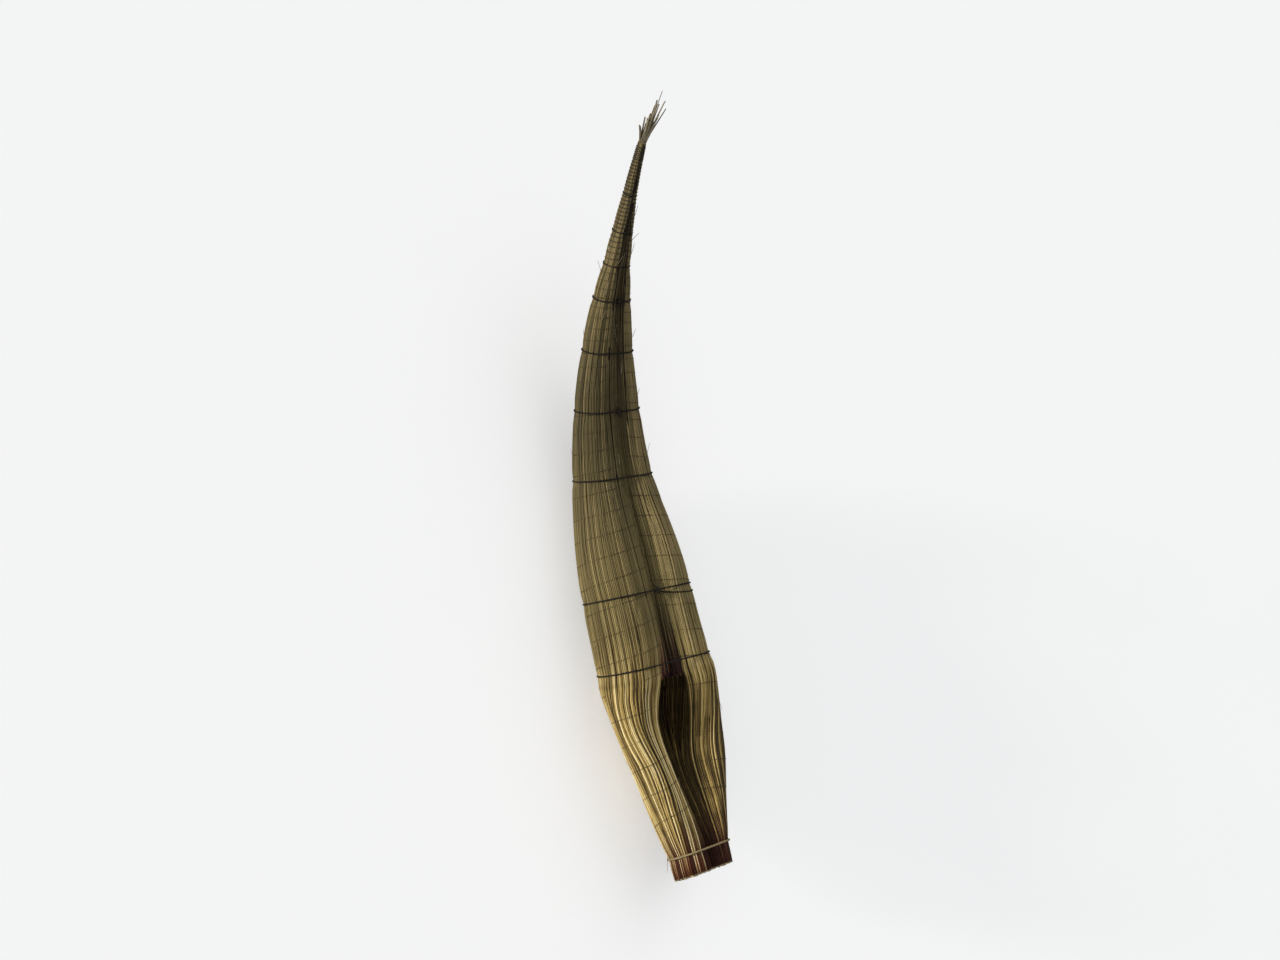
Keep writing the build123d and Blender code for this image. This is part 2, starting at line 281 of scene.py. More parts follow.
class Lines:
    """Surface lines of the port half, section by section: the mother's outer
    side, her inner side and the son's deck, and the whole half outline."""

    COUNT = 72
    FINE = 400
    # A mother's surface that is nearer than this to the son lies under the son
    SEAT_GAP = 0.0012

    def __init__(self):
        mother, son = Skin("mother_bundle_port"), Skin("son_bundle_port")
        self.stations = stations_of_boat()
        self.outer, self.inner, self.deck, self.half, self.son = [], [], [], [], []
        whole = [mother.outline(s) for s in self.stations]
        lips = []
        for station, line in zip(self.stations, whole):
            if station < SON_ROOTS:
                self.deck.append(None)
                self.son.append(None)
                lips.append(self.bare_lip(line, station))
                continue
            other = son.outline(station)
            gaps = np.linalg.norm(line[:, None] - spaced(other, self.FINE)[None], axis=2).min(1)
            lip = int(np.argmax(gaps < self.SEAT_GAP))
            lips.append(lengths(line)[lip])
            nearest = int(np.linalg.norm(other - line[lip], axis=1).argmin())
            self.deck.append(rounded(spaced(other[nearest:], self.COUNT), 4))
            self.son.append(other)
        for line, cut in zip(whole, lips):
            run = lengths(line)
            lip = np.array([np.interp(cut, run, line[:, n]) for n in (0, 1)])
            outer = np.vstack([line[run < cut - 1e-6], lip])
            inner = np.vstack([lip, line[run > cut + 1e-6]])
            self.outer.append(rounded(spaced(outer, self.COUNT), 5))
            self.inner.append(rounded(spaced(inner, self.COUNT), 5))
        for outer, inner, deck in zip(self.outer, self.inner, self.deck):
            over = inner if deck is None else deck
            self.half.append(spaced(np.vstack([outer, over[1:]]), 2 * self.COUNT))
        self.outer, self.inner = self.eased(self.outer), self.eased(self.inner)
        self.half = np.array(self.half)

    def eased(self, lines):
        """The same lines with the bends of the trough's lanes drawn out over a longer run."""
        step, width = 0.03, 0.11
        lines, places = np.array(lines), np.arange(0.0, SON_ROOTS + 0.01, step)
        even = np.array([self.along(lines, place) for place in places])
        reach = np.exp(-(((places[:, None] - self.stations[None]) / width) ** 2))
        smooth = np.tensordot((reach / np.maximum(reach.sum(0), 1e-9)).T, even, axes=1)
        part = np.array([at(TROUGH_EASE, s) for s in self.stations])[:, None, None]
        return lines * (1 - part) + smooth * part

    def bare_lip(self, line, station):
        """Length round a section aft of the sons to the edge of the cockpit's hollow."""
        run = lengths(line)
        if station < LIP_STARTS:
            return LIP_SHARE * run[-1]
        span, first = 12, 80
        fine = spaced(line, self.FINE)
        before = fine[span:-span] - fine[: -2 * span]
        after = fine[2 * span :] - fine[span:-span]
        cross = before[:, 0] * after[:, 1] - before[:, 1] * after[:, 0]
        turn = np.arctan2(cross, (before * after).sum(1))
        corner = int(turn[first:].argmax()) + first + span
        return corner * run[-1] / (self.FINE - 1)

    def along(self, lines, station):
        """A line between two of the sections."""
        place = int(np.clip(np.searchsorted(self.stations, station) - 1, 0, len(lines) - 2))
        low, high = self.stations[place], self.stations[place + 1]
        share = np.clip((station - low) / (high - low), 0.0, 1.0)
        return lines[place] * (1 - share) + lines[place + 1] * share

    def half_at(self, station):
        """Outline of the port half at any station."""
        return self.along(self.half, station)


LINES = Lines()


def in_space(spots, station, side):
    """Points of a section plane in the frame, on the port (1) or starboard (-1) side."""
    origin, along, up = keel_at(max(station, 0.0))
    if station < 0:
        origin = origin + along * station
    spots = np.atleast_2d(spots)
    return origin + up * spots[:, 1:] + PORT * side * spots[:, :1]


class Tubes:
    """Closed tubes gathered into one mesh. Each keeps its own tone, its place
    along the boat and a UV map that runs round it and along it."""

    # Tubes of different tones take their streaks from different parts of the pattern
    PATTERN_SHIFT = 7.0
    CAP_PATTERN = 0.3

    def __init__(self):
        self.points, self.faces, self.uvs, self.tones, self.runs, self.slots = [], [], [], [], [], []
        self.count = 0

    def add(self, rings, tone, runs, slot=0, caps=None):
        """Adds a tube by its rings of points from end to end. Its tone is one number or
        one for each ring, runs are the rings' places along it, and slot and caps are
        the material slots of its wall and of its two end faces."""
        rings, runs = np.asarray(rings, float), np.asarray(runs, float)
        many, sides = rings.shape[:2]
        tones = np.broadcast_to(tone, many)
        shift = float(tones[many // 2]) * self.PATTERN_SHIFT
        middle = rings[0].mean(axis=0)
        face = np.cross(rings[0, 1] - rings[0, 0], rings[1, 0] - rings[0, 0])
        turned = face @ (rings[0, 0] + rings[0, 1] - 2 * middle) < 0
        place = self.count + np.arange(many * sides).reshape(many, sides)
        onward = np.roll(place, -1, axis=1)
        quads = np.stack([place[:-1], onward[:-1], onward[1:], place[1:]], axis=-1)
        about = np.arange(sides + 1) / sides + shift
        corner = np.empty((many - 1, sides, 4, 2))
        corner[..., 0, 0] = corner[..., 3, 0] = about[:-1]
        corner[..., 1, 0] = corner[..., 2, 0] = about[1:]
        corner[..., 0, 1] = corner[..., 1, 1] = runs[:-1, None]
        corner[..., 2, 1] = corner[..., 3, 1] = runs[1:, None]
        if turned:
            quads, corner = quads[..., ::-1], corner[..., ::-1, :]
        self.faces += quads.reshape(-1, 4).tolist()
        first, last = place[0].tolist(), place[-1].tolist()
        self.faces += [first, last[::-1]] if turned else [first[::-1], last]
        turns = about[:-1] * 2 * math.pi
        cap = np.stack([np.cos(turns), np.sin(turns)], axis=1) * self.CAP_PATTERN + shift
        self.uvs += [corner.reshape(-1, 2), cap, cap]
        self.slots += [slot] * ((many - 1) * sides) + [slot if caps is None else caps] * 2
        self.points.append(rings.reshape(-1, 3))
        self.tones.append(np.repeat(tones, sides))
        self.runs.append(np.repeat(runs, sides))
        self.count += many * sides

    def piece(self, name, *materials):
        """The mesh as an object of its own. Only the first material's faces are smooth."""
        mesh = bpy.data.meshes.new(name)
        mesh.from_pydata(np.concatenate(self.points).tolist(), [], self.faces)
        uv = mesh.uv_layers.new(name="round and along")
        uv.data.foreach_set("uv", np.concatenate(self.uvs).astype(np.float32).ravel())
        for label, values in (("tone", self.tones), ("run", self.runs)):
            layer = mesh.attributes.new(label, "FLOAT", "POINT")
            layer.data.foreach_set("value", np.concatenate(values).astype(np.float32))
        mesh.polygons.foreach_set("material_index", self.slots)
        mesh.polygons.foreach_set("use_smooth", [slot == 0 for slot in self.slots])
        for material in materials:
            mesh.materials.append(bpy.data.materials[material])
        mesh.update()
        piece = bpy.data.objects.new(name, mesh)
        bpy.context.scene.collection.objects.link(piece)
        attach(piece, "root")
        return piece


def round_turns(sides, start=0.0):
    """Cosines and sines of the corners of a ring, as two columns."""
    turns = (np.arange(sides) + start) * 2 * math.pi / sides
    return np.cos(turns)[:, None], np.sin(turns)[:, None]


def tube_rings(path, radii, sides):
    """Rings square to a path in space, with no twist from one to the next."""
    path = np.asarray(path, float)
    heading = np.gradient(path, axis=0)
    heading /= np.linalg.norm(heading, axis=1, keepdims=True)
    across = np.cross((0.0, 0.0, 1.0), heading[0])
    if np.linalg.norm(across) < 1e-3:
        across = np.cross(PORT, heading[0])
    cosines, sines = round_turns(sides)
    rings = []
    for spot, ahead, radius in zip(path, heading, radii):
        across = across - ahead * (across @ ahead)
        across /= np.linalg.norm(across)
        rings.append(spot + radius * (cosines * across + sines * np.cross(ahead, across)))
    return np.array(rings)


# Reeds

REED_LENGTHS = (1.3, 2.5)
SHORTEST_REED = 0.35
# A reed starts so far under the one before it and ends so far past its joint,
# and its ends are tucked under over these lengths
REED_LAPS = (0.13, 0.02)
TUCK_LENGTHS = (0.11, 0.09)
# Half width of a reed at least and at most, its half depth at most, and its depth against its width
REED_HALVES = (0.0006, 0.0075)
REED_DEPTH, REED_FLATNESS = 0.0042, 0.62
# How high the reeds lie against their bed, and how much that varies
REED_LIES = (-0.0022, -0.0008, 0.0, 0.0006, 0.0014)
LIE_SPREAD = 0.0005
# How deep the reeds sink under a rope, at a tucked end, where a lane closes up and at a seam
ROPE_SINK, TUCK_SINK, CLOSING_SINK, SEAM_SINK = 0.0035, 0.0055, 0.004, 0.004
# Height of the slow waves in the bed's surface, and the ranges of how many of them
# go round it, how many go along a metre of it, and where they start
SWELL, SWELL_WAVES = 0.0004, ((2, 5), (0.6, 1.6), (0, FULL_TURN))
# Share of a reed's tone that its lane gives it and that is its own, and how much painted shade darkens it at
# a seam: in the grooves and creases between the bundles and by the cockpit's lip
LANE_TONE, OWN_TONE, SEAM_SHADE = 0.8, 0.2, 0.3
# Depth of the core under the lines at most, against the section's size, and its gap amidships
CORE_DEEPEST, CORE_GAP = 0.14, 0.0003
ROPE_REACH = 0.045
SEAM_SHARE = 0.07
# Seams that aren't the deck groove sink and show painted shade this much: station, share
SEAM_SHOWS = ((1.6, 0.25), (3.0, 1.0))
# Sections with a girth under this have their relief scaled down
FULL_GIRTH = 0.25


def spread_order(number):
    """Even scatter of the numbers 0, 1, 2, ... over the range 0 to 1."""
    result, share = 0.0, 0.5
    while number:
        result += share * (number & 1)
        number >>= 1
        share /= 2
    return result


def pinch(station):
    """How far the girth ropes draw the reeds in, from 0 to 1."""
    return max(math.exp(-(((station - rope) / ROPE_REACH) ** 2)) for rope in ROPE_STATIONS)


class Bed:
    """Lanes of reeds over one surface of a bundle. Lanes close up and end as
    the bundle narrows, and their neighbours take over the room."""

    def __init__(self, lines, stations):
        self.lines, self.stations = lines, stations
        self.girths = np.array([lengths(line)[-1] for line in lines])
        wanted = self.girths / np.array([at(REED_WIDTHS, s) for s in stations])
        self.count = int(wanted.max()) + 1
        keep = wanted / self.count
        order = np.array([spread_order(n) for n in range(self.count)])
        closing = 0.07
        self.shares = np.clip((keep[:, None] - order[None]) / closing + 0.5, 0.0, 1.0)
        total = self.shares.sum(1, keepdims=True)
        self.middles = (np.cumsum(self.shares, axis=1) - self.shares / 2) / total
        self.widths = self.shares / total * self.girths[:, None]
        self.normals = [outward(line) for line in lines]

    def spot(self, place, share):
        """Point and outward normal at a share of the way round a section."""
        line, normals = self.lines[place], self.normals[place]
        where = np.clip(share, 0, 1) * (len(line) - 1)
        low = min(int(where), len(line) - 2)
        part = where - low
        normal = normals[low] * (1 - part) + normals[low + 1] * part
        normal = normal / np.linalg.norm(normal)
        return line[low] * (1 - part) + line[low + 1] * part, normal

    def seam(self, lane, place, seams):
        """How near a lane lies to the first or the last edge of the bed, times that seam's strength."""
        middle = float(self.middles[place, lane])
        first, last = max(0.0, 1 - middle / SEAM_SHARE), max(0.0, 1 - (1 - middle) / SEAM_SHARE)
        seam = seams[0] * first + seams[1] * last
        groove = middle > 0.5 and seams[0] > 0
        return seam if groove else seam * at(SEAM_SHOWS, self.stations[place])


def lane_tones(count, rng):
    """Tones of the lanes: single light and dark ones with one or two middling ones between."""
    tones = []
    while len(tones) < count:
        tones.append(rng.choice((0.0, 0.06, 0.18, 0.9, 1.0)))
        tones += [rng.choice((0.36, 0.46, 0.56, 0.7))] * rng.choice((1, 1, 2))
    return tones


def lane_joints(low, high, rng):
    """Stations where the reeds of one lane meet, with its two ends."""
    joints = [low]
    while joints[-1] < high:
        reach = rng.uniform(*REED_LENGTHS)
        if len(joints) == 1 and rng.random() < 0.5:
            reach *= 0.5
        joints.append(joints[-1] + reach)
    joints[-1] = high
    if len(joints) > 2 and joints[-1] - joints[-2] < SHORTEST_REED:
        joints.pop(-2)
    return joints


class Reed:
    """One reed, with its own thickness, slow sway and height over the bed."""

    CORNERS = round_turns(5, 0.25)

    def __init__(self, rng):
        self.wide, self.thick = rng.uniform(0.9, 1.3), rng.uniform(0.8, 1.2)
        self.sway, self.phase = rng.uniform(0.0004, 0.0016), rng.uniform(0, FULL_TURN)
        self.period = rng.uniform(0.5, 1.4)
        self.lie = rng.choice(REED_LIES) + rng.uniform(-LIE_SPREAD, LIE_SPREAD)

    def ring(self, bed, lane, place, tuck, seam, bulge, waves):
        """Outline of the reed in one section. Tuck says how far it is drawn under there."""
        station, girth = bed.stations[place], bed.girths[place]
        sway = self.sway * math.sin(station / self.period * FULL_TURN + self.phase)
        share = bed.middles[place, lane] + sway / girth
        point, normal = bed.spot(place, share)
        half = min(max(bed.widths[place, lane] / 2, REED_HALVES[0]), REED_HALVES[1]) * self.wide
        deep = min(REED_DEPTH, REED_FLATNESS * half) * self.thick
        swell = SWELL * sum(
            math.sin(share * round_it * FULL_TURN + station * along_it * FULL_TURN + phase)
            for round_it, along_it, phase in waves
        )
        grip, slim = pinch(station), min(1.0, girth / FULL_GIRTH)
        lift = self.lie + (bulge + swell) * (1 - grip) * slim - ROPE_SINK * grip * slim
        closed = 1 - min(bed.shares[place, lane], 1)
        lift -= TUCK_SINK * tuck + closed * CLOSING_SINK + SEAM_SINK * seam * slim * (1 - grip)
        half, deep = half * (1 - 0.55 * tuck), deep * (1 - 0.5 * tuck)
        centre = point + normal * lift
        centre[0] = max(centre[0], half * 0.4)
        cosines, sines = self.CORNERS
        ring = centre + cosines * np.array([-normal[1], normal[0]]) * half + sines * normal * deep
        ring[:, 0] = np.maximum(ring[:, 0], MIDDLE_GAP)
        return ring


def lay_reeds(
    tubes, bed, side, rng, bulge, ragged, tones=(0.0, 1.0), seams=(0.0, 0.0), painted_light=((0.0, 0.0),)
):
    """Covers a bed with reeds laid end to end in each lane, their ends tucked under.
    Ragged says how unevenly the lanes end at the stern and at the bow, tones is the
    range of the reeds' tone, seams says how much the lanes sink, and darken with painted shade,
    at the first and the last edge of the bed, and the last argument how much lighter the reeds are painted at
    which station, darker where below 0: painted light and shade."""
    waves = [[rng.uniform(*reach) for reach in SWELL_WAVES] for _ in range(4)]
    levels = lane_tones(bed.count, rng)
    for lane in range(bed.count):
        alive = [n for n, share in enumerate(bed.shares[:, lane]) if share > 0.02]
        if len(alive) < 3:
            continue
        low, high = bed.stations[alive[0]], bed.stations[alive[-1]]
        joints = lane_joints(low, high, rng)
        for first, last in zip(joints, joints[1:]):
            start, end = first - REED_LAPS[0], last + REED_LAPS[1]
            places = [n for n in alive if start <= bed.stations[n] <= end]
            if len(places) < 3:
                continue
            seam = bed.seam(lane, places[len(places) // 2], seams)
            # Painted shade: a lane at a seam is made darker here, and it also sinks in the reed's rings
            own = levels[lane] * LANE_TONE + rng.random() * OWN_TONE - SEAM_SHADE * seam
            # Each side's painted light and shade, by station, is added to the reed's tone
            shades = np.clip([own + at(painted_light, bed.stations[n]) for n in places], 0.0, 1.0)
            reed = Reed(rng)
            rings, stations = [], [bed.stations[n] for n in places]
            for n, station in zip(places, stations):
                tuck = 0.0
                if first > low:
                    tuck = max(tuck, 1 - max(station - start, 0) / TUCK_LENGTHS[0])
                if last < high:
                    tuck = max(tuck, 1 - max(last - station, 0) / TUCK_LENGTHS[1])
                rings.append(reed.ring(bed, lane, n, tuck, seam, bulge, waves))
            if first == low and ragged[0]:
                stations[0] -= rng.uniform(0.0, 1.0) ** 2 * ragged[0]
            if last == high and ragged[1]:
                stations[-1] += rng.uniform(0.0, 1.0) * ragged[1]
            placed = [in_space(ring, station, side) for ring, station in zip(rings, stations)]
            tubes.add(placed, tones[0] + (tones[1] - tones[0]) * shades, stations, caps=1)


def lay_core(tubes, lines, stations, side, depth):
    """Inner body that shows only between the reeds, from every other section; its dark colour is painted
    shade in those gaps.
    """
    places = [n for n in range(len(stations)) if n % 2 == 0 or n == len(stations) - 1]
    rings = []
    for n in places:
        line = lines[n]
        size = min(line[:, 1].max() - line[:, 1].min(), line[:, 0].max())
        inset = line - outward(line) * min(depth, CORE_DEEPEST * size)
        inset[:, 0] = np.maximum(inset[:, 0], CORE_GAP)
        rings.append(in_space(inset[::3], stations[n], side))
    tubes.add(rings, 0.0, stations[places], slot=2)


def inside(spot, outline):
    """Whether a point of a section lies inside a closed outline."""
    result = False
    for (x0, y0), (x1, y1) in zip(outline, np.roll(outline, -1, axis=0)):
        if (y0 > spot[1]) != (y1 > spot[1]) and spot[0] < (x1 - x0) * (spot[1] - y0) / (y1 - y0) + x0:
            result = not result
    return result


def stack_ends(tubes, outline, station, side, rng, pitch, out, tones):
    """Cut ends of the reeds over the end face of a bundle, closely packed."""
    sides, scatter, stub, row_share, radii, rim = 6, 0.0008, 0.03, 0.87, (0.42, 0.56), 0.004
    low, high = outline.min(0), outline.max(0)
    middle = outline.mean(0)
    shrunk = middle + (outline - middle) * 0.97
    row, height = 0, low[1]
    while height < high[1]:
        across = low[0] + (pitch / 2 if row % 2 else 0.0)
        while across < high[0]:
            spot = np.array([across + rng.gauss(0, scatter), height + rng.gauss(0, scatter)])
            across += pitch
            if not inside(spot, shrunk):
                continue
            radius = pitch * rng.uniform(*radii)
            turns = np.arange(sides) * 2 * math.pi / sides + rng.random()
            ring = spot + radius * np.stack([np.cos(turns), np.sin(turns)], axis=1)
            ring[:, 0] = np.maximum(ring[:, 0], MIDDLE_GAP)
            reach = station - rng.uniform(*out)
            ends = [reach, reach + rim, station + stub]
            tubes.add([in_space(ring, s, side) for s in ends], rng.uniform(*tones), ends, caps=1)
        row += 1
        height += pitch * row_share


# Ropes and cords

STRANDS_A_LAY = 9
ROPE_SIDES = 6
# Strands lie so far from the rope's middle and are so thick, against its radius
STRAND_OUT, STRAND_THICK = 0.48, 0.58
CORD_STEPS = 40
CORD_SIDES = 5
# Share of a cord's turn that lies over the half, before it goes down between the halves
CORD_OVER = 0.86
STARBOARD_LAG = 0.07
# Height of a girth rope's middle line over the hull, and the size of its twist, against its radius
ROPE_CLEAR, ROPE_SHARE = 0.6, 0.82
# Height of the stern tie's middle line over the hull, and the size of its twist
TIE_CLEAR, TIE_RADIUS = 0.0056, 0.006
# Turns of a knot: place along the boat, size, tilt in radians
KNOT_TURNS = ((-0.011, 1.0, 0.10), (0.0, 1.12, -0.06), (0.011, 0.98, -0.14))
# Radius of such a turn and of its strand, against the rope's radius
KNOT_RADIUS, KNOT_THICK = 1.5, 0.72
# Tails of a knot: length, thickness against the rope's radius, distance of their
# roots from the knot's middle, and how far they lean along, across and up
TAIL_LENGTH, TAIL_THICK, TAIL_ROOT, TAIL_LEAN = 0.034, 0.62, 0.012, (0.7, 0.62, 0.1)
# Loose second turn: where it starts and ends round the half, how far it strays, and its lay
LOOSE_REACH, LOOSE_STRAY, LOOSE_LAY = (0.985, 0.42), 0.05, 0.022


def closed_hull(points):
    """Convex outline round points of a section, counter-clockwise."""
    points = sorted(map(tuple, points))

    def turns_right(a, b, c):
        return (b[0] - a[0]) * (c[1] - a[1]) <= (b[1] - a[1]) * (c[0] - a[0])

    def chain(points):
        kept = []
        for point in points:
            while len(kept) > 1 and turns_right(kept[-2], kept[-1], point):
                kept.pop()
            kept.append(point)
        return kept[:-1]

    return np.array(chain(points) + chain(points[::-1]))


def girth_path(station, clear, count=220):
    """Closed path of a taut rope round both halves, clear of them all round."""
    half = LINES.half_at(station)
    hull = closed_hull(np.vstack([half, half * [-1, 1]]))
    line = spaced(np.vstack([hull, hull[:1]]), count + 1)[:-1]
    for _ in range(3):
        line = (np.roll(line, 1, axis=0) + 2 * line + np.roll(line, -1, axis=0)) / 4
    run = np.roll(line, -1, axis=0) - np.roll(line, 1, axis=0)
    run /= np.linalg.norm(run, axis=1, keepdims=True)
    return line + np.stack([run[:, 1], -run[:, 0]], axis=1) * clear


def twisted(tubes, path, radius, lay, strands, rng, closed=False):
    """Strands laid round each other along a path in space."""
    path = np.asarray(path, float)
    reach = lengths(path)[-1]
    count = max(8, int(reach / (lay / STRANDS_A_LAY)))
    path = spaced(path, count)
    heading = np.gradient(path, axis=0)
    if closed:
        heading[0] = heading[-1] = heading[0] + heading[-1]
    heading /= np.linalg.norm(heading, axis=1, keepdims=True)
    middle = path.mean(0)
    turns = round(reach / lay) if closed else reach / lay
    for strand in range(strands):
        phase = 2 * math.pi * strand / strands
        centre = []
        for n, (spot, ahead) in enumerate(zip(path, heading)):
            across = spot - middle
            across = across - ahead * (across @ ahead)
            across /= max(np.linalg.norm(across), 1e-9)
            rise = np.cross(ahead, across)
            angle = phase + 2 * math.pi * turns * n / (len(path) - 1)
            centre.append(spot + radius * STRAND_OUT * (math.cos(angle) * across + math.sin(angle) * rise))
        rings = tube_rings(centre, [radius * STRAND_THICK] * len(centre), ROPE_SIDES)
        tubes.add(rings, 0.5 + rng.uniform(-0.2, 0.2), np.linspace(0, reach, count))


def taut_rope(tubes, station, clear, radius, lay, strands, rng):
    """A twisted rope drawn tight round both halves at a station."""
    path = in_space(girth_path(station, clear), station, 1)
    twisted(tubes, np.vstack([path, path[:1]]), radius, lay, strands, rng, closed=True)


def winding(start, end, clear):
    """Path of a cord wound round the port half between two stations."""
    stations, turns = [start], [0.0]
    while stations[-1] < end:
        stations.append(stations[-1] + at(CORD_PITCHES, stations[-1]) / CORD_STEPS)
        turns.append(turns[-1] + 1 / CORD_STEPS)
    path = []
    for station, turn in zip(stations, turns):
        line = LINES.half_at(min(station, BOAT_LENGTH - 0.001))
        around = turn % 1.0
        if around < CORD_OVER:
            spot, normal = point_on(line, around / CORD_OVER)
            lift = clear * min(1.0, max(lengths(line)[-1], 0.05) / 0.3) * (1 - pinch(station) * 0.8)
            spot = spot + normal * max(lift, 0.0028)
        else:
            spot = line[-1] + (line[0] - line[-1]) * (around - CORD_OVER) / (1 - CORD_OVER)
        spot = np.array([max(spot[0], 0.0025), spot[1]])
        path.append(in_space(spot, station, 1)[0])
    return np.array(path), np.array(stations)


def loose_strand(tubes, station, radius, rng):
    """Second turn that strays aft of the rope over the starboard half."""
    line = LINES.half_at(station)
    steps = 25
    path = []
    for n, share in enumerate(np.linspace(*LOOSE_REACH, steps + 1)):
        spot, normal = point_on(line, share)
        spot = spot + normal * (radius * 0.9 + 0.002)
        away = LOOSE_STRAY * math.sin(math.pi * n / steps) ** 0.8
        path.append(in_space(spot, station - away, -1)[0])
    twisted(tubes, smooth_path(path, 60), radius * 0.7, LOOSE_LAY, 2, rng)


def smooth_path(points, count):
    """Smooth curve that passes through a few points."""
    points = np.asarray(points, float)
    padded = np.vstack([2 * points[0] - points[1], points, 2 * points[-1] - points[-2]])
    result = []
    for where in np.linspace(0, len(points) - 1 - 1e-6, count):
        n, t = int(where), where - int(where)
        a, b, c, d = padded[n : n + 4]
        curve = 2 * b + (c - a) * t + (2 * a - 5 * b + 4 * c - d) * t * t + (3 * b - a - 3 * c + d) * t**3
        result.append(0.5 * curve)
    return np.array(result)


# Materials

# Colours of the finishes: place on the scale from dark to light, colour
# The trough's scale is stretched: its near-black end is partly painted shade in the gaps between the fanned
# reeds, and its pale cream end painted sunlight on their tops
TROUGH_REED = (
    (0.16, (0.014, 0.008, 0.002)),
    (0.36, (0.09, 0.057, 0.017)),
    (0.5, (0.34, 0.235, 0.072)),
    (0.64, (0.68, 0.495, 0.18)),
    (0.8, (1.0, 0.83, 0.45)),
)
DECK_REED = (
    (0.08, (0.062, 0.046, 0.016)),
    (0.36, (0.157, 0.119, 0.043)),
    (0.65, (0.23, 0.179, 0.069)),
    (0.95, (0.42, 0.32, 0.137)),
)
BOW_REED = (
    (0.08, (0.022, 0.016, 0.006)),
    (0.38, (0.072, 0.056, 0.022)),
    (0.65, (0.125, 0.098, 0.040)),
    (0.95, (0.32, 0.24, 0.105)),
)
STERN_REED = (
    (0.1, (0.012, 0.004, 0.002)),
    (0.4, (0.045, 0.011, 0.004)),
    (0.66, (0.12, 0.030, 0.009)),
    (0.82, (0.30, 0.11, 0.032)),
    (0.95, (0.55, 0.30, 0.10)),
)
ROOT_REED = (
    (0.1, (0.006, 0.003, 0.003)),
    (0.4, (0.020, 0.008, 0.006)),
    (0.62, (0.075, 0.020, 0.013)),
    (0.8, (0.24, 0.085, 0.045)),
    (0.95, (0.50, 0.35, 0.18)),
)
CUT_REED = (0.62, 0.50, 0.28)
CUT_END = ((0.15, (0.10, 0.05, 0.02)), (0.5, (0.50, 0.36, 0.18)), (0.85, (0.80, 0.68, 0.45)))
DARK_END = ((0.15, (0.008, 0.005, 0.004)), (0.5, (0.035, 0.018, 0.012)), (0.9, (0.14, 0.08, 0.045)))
# The core's near-black is painted shade in the gaps between the reeds
CORE_SHADE = ((0.2, (0.010, 0.006, 0.002)), (0.8, (0.045, 0.027, 0.010)))
BLACK_ROPE = ((0.2, (0.006, 0.005, 0.004)), (0.6, (0.022, 0.018, 0.014)), (0.95, (0.08, 0.065, 0.05)))
BROWN_CORD = ((0.2, (0.045, 0.033, 0.014)), (0.6, (0.11, 0.083, 0.037)), (0.95, (0.21, 0.16, 0.08)))
DARK_CORD = ((0.2, (0.012, 0.010, 0.008)), (0.6, (0.045, 0.038, 0.030)), (0.95, (0.15, 0.13, 0.10)))
STRAW_ROPE = ((0.2, (0.14, 0.10, 0.045)), (0.6, (0.36, 0.28, 0.15)), (0.95, (0.62, 0.52, 0.34)))
TUFT_STRAW = ((0.15, (0.06, 0.045, 0.025)), (0.5, (0.22, 0.18, 0.11)), (0.9, (0.60, 0.52, 0.36)))

# Stations over which golden reeds turn olive and olive ones turn brown: partly the reeds' own ageing, partly
# painted light, sunlit in the trough and shaded forward of it
OLIVE_FADE, BROWN_FADE = (1.05, 1.6), (1.5, 3.0)
# Places over which a reed turns into its pale cut end, and streaks over which it does
CUT_FADE, CUT_STREAKS = (0.0005, -0.0035), (0.40, 0.55)
# Stations over which the mothers' and the sons' reeds come out of their roots' colour
MOTHER_ROOTS, SON_ROOT_FADE = (0.36, 0.03), (1.62, 1.22)

# Finishes of ends, cores, ropes and straws: name, colours, streaks round and
# along, height of the relief, roughness
STRAND_FINISHES = (
    ("Cut reed ends", CUT_END, 3.0, 5.0, 0.001, 0.85),
    ("Dark reed ends", DARK_END, 3.0, 5.0, 0.001, 0.85),
    ("Bundle core", CORE_SHADE, 60.0, 4.0, 0.002, 0.85),
    ("Black rope", BLACK_ROPE, 6.0, 90.0, 0.0008, 0.85),
    ("Brown cord", BROWN_CORD, 5.0, 120.0, 0.0006, 0.85),
    ("Dark cord", DARK_CORD, 5.0, 120.0, 0.0006, 0.85),
    ("Straw rope", STRAW_ROPE, 6.0, 80.0, 0.0008, 0.85),
    ("Tuft straw", TUFT_STRAW, 4.0, 12.0, 0.0006, 0.6),
)


